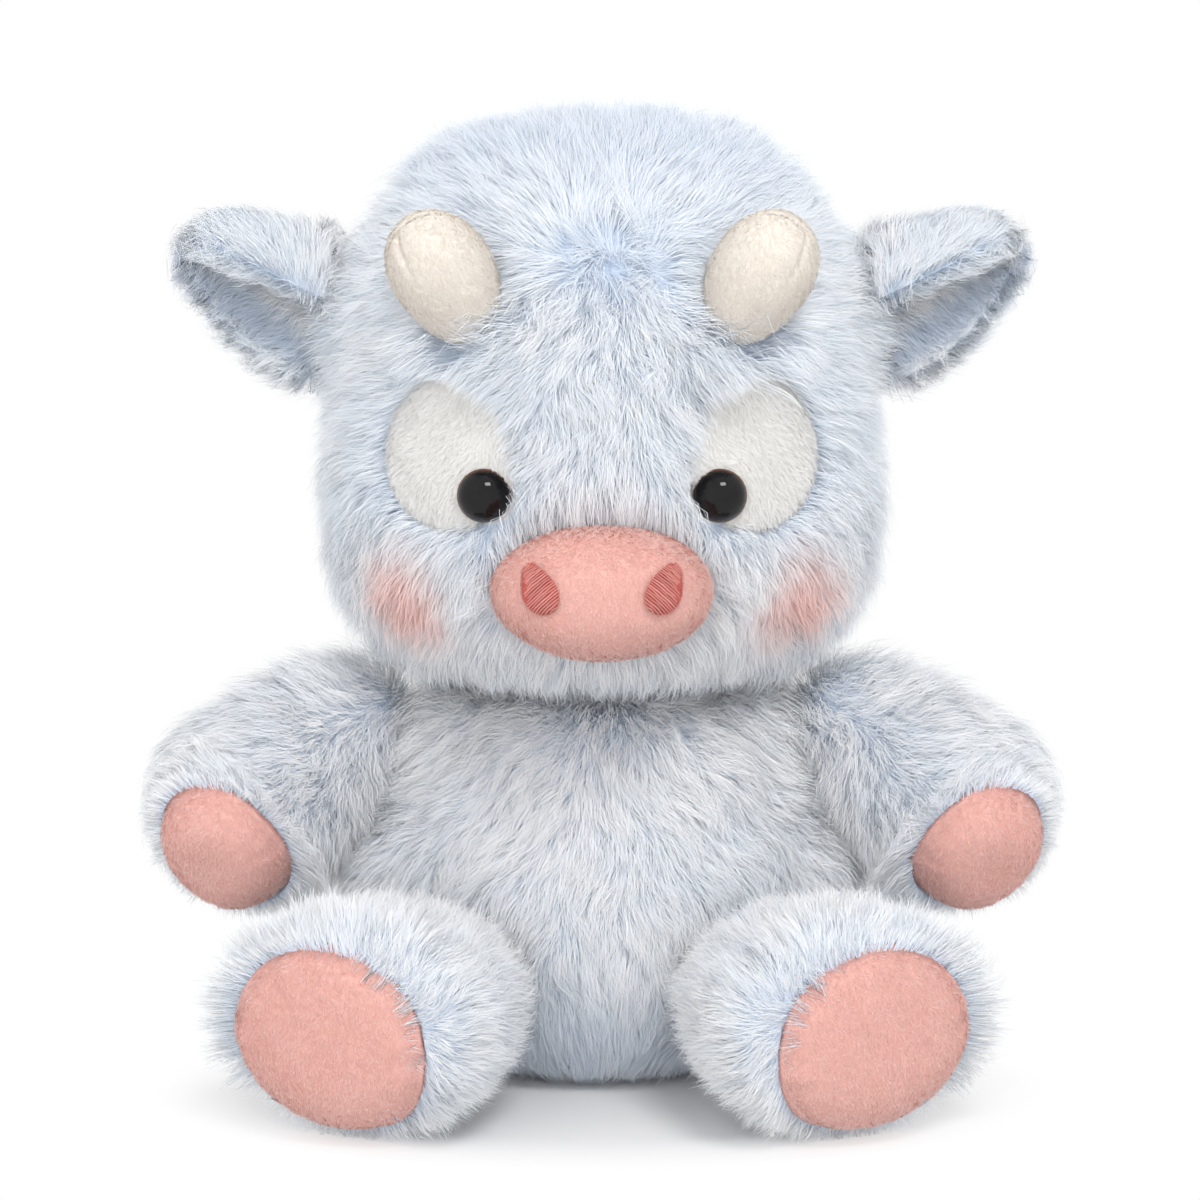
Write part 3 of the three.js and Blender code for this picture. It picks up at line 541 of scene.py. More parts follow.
# Materials.


class Graph:
    """Small helper that writes the nodes of a material or a room."""

    def __init__(self, owner, shader="Principled BSDF"):
        self.owner = owner
        owner.use_nodes = True
        self.tree = owner.node_tree
        self.shader = self.tree.nodes[shader]

    def node(self, kind, **settings):
        made = self.tree.nodes.new(kind)
        for key, value in settings.items():
            setattr(made, key, value)
        return made

    def put(self, socket, value):
        if isinstance(value, bpy.types.NodeSocket):
            self.tree.links.new(value, socket)
        else:
            socket.default_value = value

    def result(self, kind, inputs, output=0, **settings):
        """One output of a new node with its inputs set."""
        made = self.node(kind, **settings)
        for key, value in inputs.items():
            self.put(made.inputs[key], value)
        return made.outputs[output]

    def attribute(self, name):
        return self.node("ShaderNodeAttribute", attribute_name=name).outputs["Fac"]

    def place(self):
        return self.node("ShaderNodeTexCoord").outputs["Object"]

    def noise(self, scale, detail):
        given = {"Scale": scale, "Detail": detail, "Roughness": NOISE_ROUGHNESS, "Vector": self.place()}
        return self.result("ShaderNodeTexNoise", given, "Fac")

    def math(self, operation, a, b):
        return self.result("ShaderNodeMath", {0: a, 1: b}, operation=operation)

    def span(self, value, low, high, start=0.0, end=1.0):
        given = {"Value": value, "From Min": low, "From Max": high, "To Min": start, "To Max": end}
        return self.result("ShaderNodeMapRange", given)

    def mix(self, share, a, b):
        return self.result("ShaderNodeMix", {"Factor": share, "A": a, "B": b}, "Result", data_type="RGBA")

    def bump(self, height, strength, distance):
        given = {"Strength": strength, "Distance": distance, "Height": height}
        self.put(self.shader.inputs["Normal"], self.result("ShaderNodeBump", given, "Normal"))

    def finish(self, colour, roughness, sheen=0.0, specular=0.3):
        given = {"Base Color": colour, "Roughness": roughness, "Sheen Weight": sheen}
        for key, value in {**given, "Specular IOR Level": specular}.items():
            self.put(self.shader.inputs[key], value)
        return self.owner

    def seen(self):
        """1 for camera, glossy and transmission rays, which see a white room, and 0 for its light."""
        path = self.node("ShaderNodeLightPath").outputs
        glossy = self.math("MAXIMUM", path["Is Camera Ray"], path["Is Glossy Ray"])
        return self.math("MAXIMUM", glossy, path["Is Transmission Ray"])


def material_graph(name):
    return Graph(bpy.data.materials.new(name))


def fur_material(name, root, blue, white):
    """Pile that is darker at its root, with pale tips and paler clumps."""
    g = material_graph(name)
    patchy = g.span(g.noise(28, 3), 0.3, 0.7, -0.18, 0.18)
    # The white share holds the pale lock, lower face and ear strip, and also painted light on the limbs, chest
    # and ear rims.
    pale = g.math("ADD", g.math("ADD", g.attribute("tint"), g.attribute("white")), patchy)
    body = g.mix(g.span(pale, 0.25, 1.0), blue, white)
    tipped = g.mix(g.span(g.attribute("pile"), 0.6, 1, 0, 0.7), body, white)
    base = g.mix(g.attribute("white"), root, blue)
    colour = g.mix(g.span(g.attribute("pile"), 0, 0.4), base, tipped)
    # Painted shade: the pile turns deeper blue by its share of painted shade.
    with_painted_shade = g.mix(g.attribute("deep"), colour, PAINTED_SHADE_BLUE)
    blushed = g.mix(g.attribute("blush"), with_painted_shade, BLUSH_PINK)
    return g.finish(blushed, 0.78, sheen=0.25, specular=0.25)


def cloth_material(name, colour, dark):
    """The knitted backing that shows between roots."""
    g = material_graph(name)
    weave = g.noise(900, 2)
    shade = g.mix(g.span(weave, 0.3, 0.7), dark, colour)
    g.bump(weave, 0.4, 0.0004)
    return g.finish(shade, 0.95)


def eye_material():
    """Black plastic with a painted reflection: a thin warm brown rim."""
    g = material_graph("black_eye")
    black = g.mix(g.span(g.noise(300, 2), 0.3, 0.7), (0.003, 0.003, 0.004, 1), (0.008, 0.007, 0.007, 1))
    # Painted reflection: a warm brown mixed in on the rim.
    shade = g.mix(g.attribute("rim"), black, (0.17, 0.06, 0.03, 1))
    return g.finish(shade, 0.07, specular=0.3)


def washer_material():
    g = material_graph("washer_plastic")
    shade = g.mix(g.span(g.noise(400, 2), 0.3, 0.7), (0.76, 0.76, 0.72, 1), (0.84, 0.84, 0.80, 1))
    return g.finish(shade, 0.5)


def thread_material():
    """Satin thread, each stitch a little lighter or darker."""
    g = material_graph("rosy_thread")
    ply = g.span(g.noise(1400, 2), 0.3, 0.7)
    dark, light, middling = to_linear((186, 104, 98), (226, 152, 142), (206, 126, 118))
    shade = g.mix(ply, g.mix(g.attribute("tint"), dark, light), middling)
    return g.finish(shade, 0.5, sheen=0.2, specular=0.4)


# The material of the pile and of the cloth under it, for each slot.
BLUE = (
    fur_material("blue_fur", FUR_ROOT, FUR_BLUE, FUR_WHITE),
    cloth_material("blue_cloth", CLOTH_BLUE, FUR_ROOT),
)
PILES = {
    "blue_fur": BLUE,
    "tuft_fur": BLUE,
    "white_plush": (
        fur_material("white_fur", (0.88, 0.87, 0.84, 1), (0.95, 0.94, 0.92, 1), (0.98, 0.975, 0.96, 1)),
        cloth_material("white_cloth", (0.93, 0.92, 0.89, 1), (0.86, 0.85, 0.82, 1)),
    ),
    "pink_velour": (
        fur_material("pink_nap", *to_linear((228, 170, 160), (233, 185, 175), (246, 213, 206))),
        cloth_material("pink_cloth", *to_linear((234, 186, 176), (226, 172, 162))),
    ),
    "cream_velour": (
        fur_material("cream_nap", *to_linear((224, 213, 201), (233, 226, 217), (243, 238, 231))),
        cloth_material("cream_cloth", *to_linear((242, 236, 228), (234, 226, 216))),
    ),
}
rosy_thread = thread_material()
rosy_ground = cloth_material("rosy_ground", *to_linear((184, 96, 88), (158, 74, 68)))
washer_plastic = washer_material()
black_eye = eye_material()


# Places that long fur keeps clear of.


class Zone:
    """An oval on the surface, with its own middle, outward axis and half sizes in mm."""

    def __init__(self, middle, axis, across, half_across, half_up, depth,
                 keep=1.0, trim=0.93, stand_to=1.5, drop=False):
        self.middle = np.asarray(middle, float)
        self.axis = unit(np.asarray(axis, float))
        self.depth = depth
        self.keep = keep
        self.trim = trim
        self.stand_to = stand_to
        self.drop = drop
        self.turn_to(across, half_across, half_up)

    def turn_to(self, across, half_across, half_up):
        """Turns the oval in its plane and gives it half sizes."""
        self.across = tangent(np.asarray(across, float)[None], self.axis[None])[0]
        self.up = np.cross(self.axis, self.across)
        self.half = (half_across, half_up)

    def share(self, points):
        """How far out each point is: 0 in the middle, 1 on the rim, large away from the surface here."""
        apart = points - self.middle
        a = apart @ self.across / self.half[0]
        b = apart @ self.up / self.half[1]
        far = np.abs(apart @ self.axis) > self.depth
        return np.hypot(a, b) + OFF_SURFACE * far

    def place(self, out, angle):
        """Points in the oval's plane at a share of the way out, at an angle."""
        a = (out * np.cos(angle))[:, None] * self.half[0] * self.across
        b = (out * np.sin(angle))[:, None] * self.half[1] * self.up
        return self.middle + a + b


def oval_of(name, depth, **settings):
    """The zone that a flat oval CAD node fills, from the spread of its corners."""
    points, _ = node_mesh(name)
    middle = (points.min(0) + points.max(0)) / 2
    ways = np.linalg.eigh(np.cov((points - points.mean(0)).T))[1]
    axis = ways[:, 0] * (-1 if ways[1, 0] > 0 else 1)
    across = ways[:, 2]
    apart = points - middle
    up = np.cross(axis, across)
    half_across, half_up = np.abs(apart @ across).max(), np.abs(apart @ up).max()
    return Zone(middle, axis, across, half_across, half_up, depth, **settings)


def clear_of(zones):
    return lambda points: np.all([zone.share(points) > zone.keep for zone in zones], axis=0)


def trimmed(paths, zones):
    """Strands whose tips reach into a zone, shortened to end near its rim."""
    for zone in zones:
        if zone.drop:
            continue
        root, tip = zone.share(paths[:, 0]), zone.share(paths[:, -1])
        inside = (tip < zone.trim) & (root < 5)
        short = np.clip((root - zone.trim) / np.maximum(root - tip, 0.05), 0.22, 1)
        scale = np.where(inside, short, 1.0)[:, None, None]
        paths = paths[:, :1] + (paths - paths[:, :1]) * scale
    return paths


# Comb directions. Each gives a vector for each point.

WHORL = np.array((2.7, -50.0, 224.0))
DOWN = -UP


def stirred(points, size, seeds):
    """A random vector for each point, alike on patches of a size in mm."""
    return np.stack([waves(points, size, k) for k in seeds], 1)


def head_comb(points, normals):
    """Fur that parts on the forehead, spreads up and out from there, and hangs down below it."""
    x, y, z = points.T
    apart = points + 5 * stirred(points, 16, (14, 15, 16)) - WHORL
    lock = ramp(36, 16, np.abs(x)) * ramp(224, 206, z) * ramp(20, -20, y)
    hang = (ramp(214, 120, z) * 0.9 + lock * 0.9)[:, None]
    mess = 0.9 * stirred(points, 6, (11, 12, 13))
    near = ramp(24, 6, norms(apart))[:, None]
    return unit(apart) * (1 - 0.6 * near) + hang * DOWN + mess * near


def parted(comb, zone, reach):
    """A comb that turns outward from a zone next to its rim."""
    def turned_comb(points, normals):
        apart = points - zone.middle
        near = (ramp(reach, 1.0, zone.share(points)) * ramp(10, 0, apart @ zone.up))[:, None]
        return unit(comb(points, normals)) * (1 - near) + unit(apart) * near
    return turned_comb


def body_comb(points, normals):
    """Down and a little outward on the chest, towards a V low on the belly."""
    x, y, z = points.T
    low = ramp(70, 25, z) * ramp(0, -25, y)
    out = np.sign(x) * ramp(2, 14, np.abs(x)) * (0.5 - 0.9 * low)
    return DOWN + out[:, None] * np.array((1.0, 0, 0))


def arm_comb(sign, pad):
    """Along the arm, down on its underside, and outward next to its pad."""
    def comb(points, normals):
        hang = ramp(0.3, -0.5, normals[:, 2])[:, None]
        near = 0.6 * ramp(1.3, 1.05, pad.share(points))[:, None]
        ways = np.array((sign * 0.85, 0.05, -0.5)) * (1 - 0.7 * hang) + hang * np.array((0, 0.1, -0.8))
        return ways * (1 - near) + unit(points - pad.middle) * near
    return comb


def leg_comb(pad):
    """Away from the pad."""
    def comb(points, normals):
        return unit(points - pad.middle) + np.array((0, 0.35, 0)) + 0.35 * stirred(points, 11, (21, 22, 23))
    return comb


FLAP_OUTER = (99.0, 221.5)
FLAP_INNER = (73.0, 203.5)


def over_flap(points):
    """How far in mm each point of an ear is above the lower edge of its folded flap, seen from the front."""
    (x0, z0), (x1, z1) = FLAP_OUTER, FLAP_INNER
    long = math.hypot(x1 - x0, z1 - z0)
    return ((x0 - x1) * (points[:, 2] - z1) - (z0 - z1) * (np.abs(points[:, 0]) - x1)) / long


def ear_comb(sign):
    """Down below the flap's edge, up on the flap, and inward at the root."""
    def comb(points, normals):
        up = ramp(-3, 3, over_flap(points))[:, None]
        root = 0.55 * ramp(82, 75, np.abs(points[:, :1]))
        ways = np.array((sign * 0.85, 0.1, -0.6)) * (1 - up) + np.array((sign * 0.45, 0.1, 0.8)) * up
        return ways * (1 - root) + np.array((sign * -0.9, 0, 0.3)) * root
    return comb


def tail_comb(points, normals):
    return np.tile(np.array((0, 0.4, -1.0)), (len(points), 1))


def patch_comb(points, normals):
    return points * np.array((0.01, 0, 0)) + DOWN


def nap_comb(points, normals):
    return np.array((0.3, 0, -1.0)) + 0.6 * stirred(points, 2.2, (1, 2, 3))


# Places on the head that come in pairs: the left one, in mm.
CHEEK_PLACE = (52.5, -35, 135)
EAR_PLACE = (66, 13, 206)
HORN_PLACE = (32, -42, 203)


def measures(points):
    """How far each point is from the middle plane, and its Y and Z."""
    return np.abs(points[:, 0]), points[:, 1], points[:, 2]


def near_pair(points, place, low, high):
    """A share for how near each point is to a place of a pair."""
    x, y, z = place
    apart = points - np.sign(points[:, :1]) * np.array((x, 0, 0)) - np.array((0, y, z))
    return ramp(low, high, norms(apart))


# Tones of the pile: shares of white, partly painted light, of blush, and of painted shade in deeper blue.


def plain_tones(points):
    return {key: np.zeros(len(points)) for key in ("white", "blush", "deep")}


def painted_paler(share):
    """Tones of fur that is painted paler all over, as painted light."""
    return lambda points: {**plain_tones(points), "white": np.full(len(points), share)}


# Painted light: arms and legs are painted paler to make up for the shade they sit in.
leg_painted_light = painted_paler(0.25)
arm_painted_light = painted_paler(0.3)


def ear_tones(points):
    """A light flap, a whitish strip along its lower edge, painted shade in deeper blue in the hollow under
    that, and painted light that makes the rims paler.
    """
    over = over_flap(points)
    wide, y, z = measures(points)
    strip = ramp(-4.5, -2.5, over) * ramp(1.5, -0.5, over) * ramp(94, 88, wide)
    # Painted shade in the hollow under the flap.
    painted_hollow_shade = ramp(-2.5, -6, over) * ramp(-17, -10, over) * ramp(22, 12, y)
    # Painted light: the rims, root and lower edge are painted paler, less so in the hollow.
    edge = np.maximum(ramp(98, 110, wide), ramp(84, 76, wide))
    edge = np.maximum(edge, ramp(198, 190, z)) * (1 - 0.6 * painted_hollow_shade)
    return {**plain_tones(points), "white": 0.7 * strip + 0.25 * edge, "deep": 0.7 * painted_hollow_shade}


def body_tones(points):
    """Painted light that makes the chest paler under the head's shadow, and painted shade, less white and
    deeper blue, low on the belly next to the floor.
    """
    tones = leg_painted_light(points)
    z = points[:, 2]
    # Painted light on the chest and painted shade low on the belly.
    tones["white"] += 0.15 * ramp(70, 90, z) - 0.25 * ramp(48, 25, z)
    tones["deep"] += 0.3 * ramp(42, 18, z)
    return tones


def head_tones(points):
    """A pale lock and lower face and pink cheeks, with painted shade: a darker chin, deeper blue at the
    whorl's parting, and a crown painted deeper blue to tone down the light from above.
    """
    wide, y, z = measures(points)
    lock = ramp(32, 14, wide) * ramp(140, 160, z) * ramp(222, 208, z)
    # The lower face is pale, but under the chin the share goes below nothing, which paints shade there.
    low = ramp(165, 140, z) - 1.6 * ramp(124, 110, z)
    whorl = ramp(17, 4, norms(points - WHORL))
    return {
        "white": ramp(0, -30, y) * (0.15 * lock + 0.35 * low),
        "blush": near_pair(points, CHEEK_PLACE, 20.5, 3),
        # Painted shade at the whorl's parting and on the crown.
        "deep": 0.32 * whorl + 0.25 * ramp(226, 246, z),
    }


# How much higher the pile stands in places, as a factor.


def head_lift(points):
    wide, y, z = measures(points)
    ear = near_pair(points, EAR_PLACE, 26, 8)
    horn = near_pair(points, HORN_PLACE, 20, 8)
    jowl = ramp(45, 58, wide) * ramp(108, 118, z) * ramp(152, 138, z)
    corner = ramp(34, 48, wide) * ramp(130, 114, z)
    crown = ramp(225, 245, z) * ramp(15, 35, wide)
    muzzle = ramp(24, 12, np.hypot(wide * 0.6, z - 139)) * ramp(-30, -45, y)
    return 1 + ear + 1.5 * horn + 0.35 * jowl + 0.3 * crown + 0.25 * muzzle + 0.6 * corner


def body_lift(points):
    wide, _, z = measures(points)
    shoulder = ramp(25, 45, wide) * ramp(70, 88, z)
    side = ramp(35, 50, wide) * ramp(40, 55, z)
    return 1 + 0.4 * ramp(85, 100, z) + 0.5 * shoulder + 0.4 * side


def arm_lift(points):
    wide, _, z = measures(points)
    root = ramp(100, 78, wide) * ramp(60, 90, z)
    under = ramp(96, 84, wide) * ramp(66, 56, z)
    return 0.95 + 0.6 * root + 0.5 * under


def leg_lift(points):
    return 1.12 + 0.3 * ramp(80, 92, np.abs(points[:, 0]))


def ear_lift(points):
    """Longer pile at the root and round the edge."""
    wide = np.abs(points[:, 0])
    rim = np.maximum(ramp(98, 108, wide), ramp(-12, -18, over_flap(points)))
    return 1 + 0.5 * ramp(84, 74, wide) + 0.45 * rim


# Pieces.

# Pads: rings and spokes, then the height of the crown, the tuck and the pucker in mm.
PATCH_SHAPE = (14, 72, 0.6, 0.6, 0.0)
VELOUR_SHAPE = (24, 160, 2.0, 2.2, 0.5)
PAD_DEPTH = 2
PAD_REACH = 14
PAW_HALF_SIZES = (19.6, 16.2)
SNOUT_HALF_SIZES = (27, 16)
SNOUT_BACK = -43
EYE_CLEARING, EYE_OPENING = 8.2, 6.7
DOME_DEGREE = 5
DOME_SPOTS = np.linspace(-0.9, 0.9, 25)

# Bulges of the left side: place, radius and height, in mm.
BODY_SWELLINGS = (((52, 2, 104), 30, 9), ((65, -4, 54), 30, 7))
ARM_SWELLINGS = (((100, 0, 92), 40, 4.5), ((60, 0, 106), 28, 6.5), ((122, 4, 74), 34, 7),
                 ((76, -10, 60), 24, 4), ((84, -26, 80), 30, 5))


def dress(piece, body, replaced=()):
    """Says what a piece rides on and stands for."""
    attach(piece, body)
    if replaced:
        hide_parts(*replaced)


def cover(name, body, form, slot, replaced):
    """The cloth under a piece's pile."""
    piece = surface_piece(name, form.points, form.faces, PILES[slot][1])
    dress(piece, body, replaced)


def dome_of(zone, tree):
    """A smooth height over the zone's plane for each place on it, fitted to a CAD surface."""
    terms = [(p, q) for p in range(DOME_DEGREE) for q in range(DOME_DEGREE - p)]
    spots, heights = [], []
    for a in DOME_SPOTS:
        for b in DOME_SPOTS:
            spot = zone.middle + a * zone.half[0] * zone.across + b * zone.half[1] * zone.up
            hit = tree.ray_cast(Vector(spot + zone.axis * 40), Vector(-zone.axis))[0]
            if hit is not None and math.hypot(a, b) < 0.92:
                spots.append((a, b))
                heights.append(np.dot(np.array(hit) - spot, zone.axis))
    spots = np.array(spots)
    table = np.stack([spots[:, 0] ** p * spots[:, 1] ** q for p, q in terms], 1)
    shares = np.linalg.lstsq(table, np.array(heights), rcond=None)[0]
    return lambda a, b: sum(s * a ** p * b ** q for s, (p, q) in zip(shares, terms))


def skin_and_stuffing(kind, tail=""):
    return f"{kind}_skin{tail}", f"{kind}_stuffing{tail}"


def ring_faces(rows, spokes, base=0):
    """Quads between rings of corners that follow each other."""
    faces = []
    for low in range(base, base + rows * spokes, spokes):
        high = low + spokes
        for s in range(spokes):
            t = (s + 1) % spokes
            faces.append((low + s, low + t, high + t, high + s))
    return faces


def crowned_pad(node, name, body, slot, zone, rings, spokes, crown, tuck, pucker, fill=None):
    """A crowned oval pad on a CAD node, with its rim tucked in and puckered, closed at the back."""
    angle = np.arange(spokes) / spokes * 2 * math.pi
    rng = np.random.default_rng(spokes)
    ripple = sum(np.sin(angle * k + rng.uniform(0, 6.3)) for k in (11, 17, 23)) / 3
    height = dome_of(zone, tree_of(*node_mesh(node)))
    points = []
    for k in range(1, rings + 1):
        out = math.sin(k / rings * math.pi / 2)
        level = height(out * np.cos(angle), out * np.sin(angle))
        edge = ramp(0.6, 1, out)
        raise_by = crown * (1 - out ** 3) - tuck * ramp(0.85, 1, out) + pucker * ripple * edge
        points.append(zone.place(out, angle) + zone.axis * (level + raise_by)[:, None])
    rim = points[-1] - zone.axis * PAD_DEPTH
    points.append(rim)
    top = zone.middle + zone.axis * (height(0.0, 0.0) + crown)
    flat = np.concatenate(points + [top[None], rim.mean(0)[None]])
    faces = [(a, d, c, b) for a, b, c, d in ring_faces(rings, spokes)]
    centre, back = len(flat) - 2, len(flat) - 1
    faces += [(s, (s + 1) % spokes, centre) for s in range(spokes)]
    last = rings * spokes
    faces += [(last + (s + 1) % spokes, last + s, back) for s in range(spokes)]
    dress(surface_piece(name, flat, faces, PILES[slot][1]), body, (node,))
    return as_form(flat, faces)


def as_form(flat, faces):
    triangles = [t for f in faces for t in ((f[:3],) if len(f) == 3 else (f[:3], (f[0], f[2], f[3])))]
    return Form(np.asarray(flat), np.array(triangles))


def swollen(form, sign, swellings, pad=None):
    """The form of one side with a smooth bulge round each place, but not next to its pad."""
    for (x, y, z), radius, amount in swellings:
        far = norms(form.points - np.array((sign * x, y, z)))
        rise = amount * ramp(radius, 0, far)
        if pad is not None:
            rise *= ramp(20, 36, norms(form.points - pad.middle))
        form = Form(form.points + form.normals * rise[:, None], form.faces)
    return form


def filled(form, smooth):
    """The form with its hollows filled out to its convex hull."""
    bm = bmesh.new()
    for point in form.points.tolist():
        bm.verts.new(point)
    shell = bmesh.ops.convex_hull(bm, input=bm.verts)["geom"]
    bm.verts.index_update()
    faces = [[v.index for v in face.verts] for face in shell if isinstance(face, bmesh.types.BMFace)]
    tree = tree_of(form.points, np.array(faces))
    bm.free()
    middle = form.points.mean(0)
    apart = form.points - middle
    hits = [tree.ray_cast(Vector(middle), Vector(way))[0] for way in apart.tolist()]
    far = np.array([hit[:] if hit else p for hit, p in zip(hits, form.points.tolist())]) - middle
    share = norms(far) / norms(apart)
    return Form(middle + apart * even(share, form.faces, smooth)[:, None], form.faces)


def build_body():
    names = skin_and_stuffing("body")
    form = star_form(names, 20)
    for _, sign in SIDES:
        form = swollen(form, sign, BODY_SWELLINGS)
    form = form.sunk(CLOTH_DEPTH)
    cover("body_cloth", "torso", form, "blue_fur", names)
    grow("body_fur", "torso", form, body_comb, SMOOTH_COAT, 11, "blue_fur", body_tones,
         thin_back=True, lift=body_lift)


def horn_zone(side):
    points, _ = node_mesh(f"horn_skin_{side}")
    middle = points.mean(0)
    ways = np.linalg.eigh(np.cov((points - middle).T))[1]
    axis = ways[:, 2] * np.sign(ways[2, 2])
    return Zone(middle - axis * 8, axis, ways[:, 0], 8, 8, 12, keep=0.85, trim=0.0)


def eye_zone(side, half):
    middle = box_middle(f"eye_{side}")
    return Zone(middle, (0, -1, 0), (1, 0, 0), half, half, 16, keep=1.0, trim=0.97, stand_to=1.05)


def build_head():
    names = skin_and_stuffing("head")
    form = star_form((*names, "eye_patch_left", "eye_patch_right"), 16).sunk(CLOTH_DEPTH)
    cover("head_cloth", "head", form, "blue_fur", names)
    patches = {side: oval_of(f"eye_patch_{side}", 26, keep=0.97, trim=0.91) for side, _ in SIDES}
    middle = box_middle("snout_skin")
    snout = Zone(middle, (0, -1, 0), (1, 0, 0), *SNOUT_HALF_SIZES, 30, keep=0.84, trim=0.86, stand_to=1.3)
    horns = [horn_zone(side) for side, _ in SIDES]
    eyes = [eye_zone(side, EYE_CLEARING) for side, _ in SIDES]
    zones = [*patches.values(), snout, *horns, *eyes]
    grow("head_fur", "head", form, parted(head_comb, snout, 1.3), LONG_COAT, 21, "blue_fur", head_tones,
         clear_of(zones), zones, True, lift=head_lift)
    return patches


def above(zone, level):
    """Which points lie further out than a level over a zone's plane, in mm."""
    return lambda points: (points - zone.middle) @ zone.axis > level


def build_patches(patches):
    for side, _ in SIDES:
        node = f"eye_patch_{side}"
        zone, eye = patches[side], eye_zone(side, EYE_OPENING)
        form = crowned_pad(node, f"eye_patch_cloth_{side}", "head", "white_plush", zone, *PATCH_SHAPE)
        grow(f"eye_patch_pile_{side}", "head", form, patch_comb, SHORT_COAT, 51, "white_plush",
             plain_tones, lambda p: clear_of([eye])(p) & above(zone, -4)(p), [eye])


def build_snout():
    names = skin_and_stuffing("snout")
    form = wrinkled(star_form(names, 120))
    cover("snout_cloth", "head", form, "pink_velour", names)
    grow("snout_nap", "head", form, nap_comb, NAP_COAT, 61, "pink_velour", plain_tones,
         lambda p: p[:, 1] < SNOUT_BACK)


def wrinkled(form):
    """The snout's cloth with faint folds that run across it."""
    points = form.points
    fold = waves(points * np.array((0.3, 1, 1)), 9, 31) * ramp(-45, -60, points[:, 1])
    return Form(points + form.normals * (0.2 * fold)[:, None], form.faces)


HORN_SEAMS = ((1.0, 0, 0.9), (0.6, 0, -1.0), (-1.0, 0, -0.35))
SEAM_WIDTH, SEAM_DEPTH = 0.7, 0.55


def seamed(form, side_sign):
    """A horn with three shallow seams that meet at its tip."""
    middle = (form.points.min(0) + form.points.max(0)) / 2
    tip = unit(np.array((side_sign * 10.0, -6.0, 11.0)))
    apart = form.points - middle
    along = apart @ tip
    flat = apart - tip * along[:, None]
    far = norms(flat)
    depth = np.zeros(len(far))
    for way in HORN_SEAMS:
        line = tangent(np.array((side_sign * -way[0], 0, way[2]))[None], tip[None])[0]
        ahead = flat @ line
        off = norms(flat - line * ahead[:, None])
        fade = ramp(-1, 1, ahead) * ramp(13, 7, far) * (along > 0)
        depth = np.maximum(depth, np.exp(-(off / SEAM_WIDTH) ** 2) * fade)
    return Form(form.points - form.normals * (SEAM_DEPTH * depth)[:, None], form.faces)


def build_horns():
    for side, sign in SIDES:
        names = skin_and_stuffing("horn", f"_{side}")
        form = seamed(star_form(names, 120), sign)
        cover(f"horn_cloth_{side}", "head", form, "cream_velour", names)
        grow(f"horn_nap_{side}", "head", form, nap_comb, NAP_COAT, 71, "cream_velour", plain_tones)


def build_limb(kind, side, form, comb, coat, seed, tones, pad_name, zone, rows, lift):
    """A limb's cloth and pile, and the velour pad at its end."""
    body = f"{kind}_{side}"
    cover(f"{kind}_cloth_{side}", body, form, "blue_fur", skin_and_stuffing(kind, f"_{side}"))
    grow(f"{kind}_fur_{side}", body, form, comb, coat, seed, "blue_fur", tones,
         clear_of([zone]), [zone], True, [(zone, rows)], lift)
    name = f"{pad_name}_cloth_{side}"
    node = f"{pad_name}_{side}"
    form = crowned_pad(node, name, body, "pink_velour", zone, *VELOUR_SHAPE, fill=0.6)
    grow(f"{pad_name}_nap_{side}", body, form, nap_comb, NAP_COAT, 81, "pink_velour", plain_tones,
         above(zone, -3))


def build_limbs():
    for side, sign in SIDES:
        zone = oval_of(f"paw_pad_{side}", PAD_REACH, keep=0.98, trim=1.0, stand_to=1.7, drop=True)
        zone.turn_to((sign * -0.64, 0, -0.77), *PAW_HALF_SIZES)
        arm = star_form((*skin_and_stuffing("arm", f"_{side}"), f"paw_pad_{side}"), 150)
        arm = filled(swollen(arm, sign, ARM_SWELLINGS, zone), 12).sunk(ARM_DEPTH)
        build_limb("arm", side, arm, arm_comb(sign, zone), SMOOTH_COAT, 31, arm_painted_light,
                   "paw_pad", zone, 7, arm_lift)
        zone = oval_of(f"foot_pad_{side}", PAD_REACH, keep=0.98, trim=1.0, drop=True)
        leg = solid_form((*skin_and_stuffing("leg", f"_{side}"), f"foot_pad_{side}"), 2.5, 8)
        build_limb("leg", side, leg.sunk(CLOTH_DEPTH), leg_comb(zone), LIMB_COAT, 41, leg_painted_light,
                   "foot_pad", zone, 5, leg_lift)


def build_ears():
    for side, sign in SIDES:
        body = f"ear_{side}"
        names = (f"ear_back_{side}", f"ear_lining_{side}")
        form = solid_form(names, 1.2, 8).sunk(1.6)
        root = np.array((sign * 70.0, 13.0, 205.0))
        form = Form(root + (form.points - root) * EAR_SCALE, form.faces)
        cover(f"ear_cloth_{side}", body, form, "blue_fur", names)
        grow(f"ear_fur_{side}", body, form, ear_comb(sign), EAR_COAT, 91, "blue_fur", ear_tones,
             lift=ear_lift)


def build_tail():
    form = solid_form(("tail",), 1.2, 3).sunk(1.5)
    cover("tail_cloth", "tail", form, "blue_fur", ("tail",))
    grow("tail_fur", "tail", form, tail_comb, EAR_COAT, 95, "blue_fur", plain_tones)
    form = star_form(("tail_tuft",), 3, 5).sunk(3)
    cover("tuft_cloth", "tail", form, "tuft_fur", ("tail_tuft",))
    grow("tuft_fur", "tail", form, tail_comb, TUFT_COAT, 97, "tuft_fur", leg_painted_light)


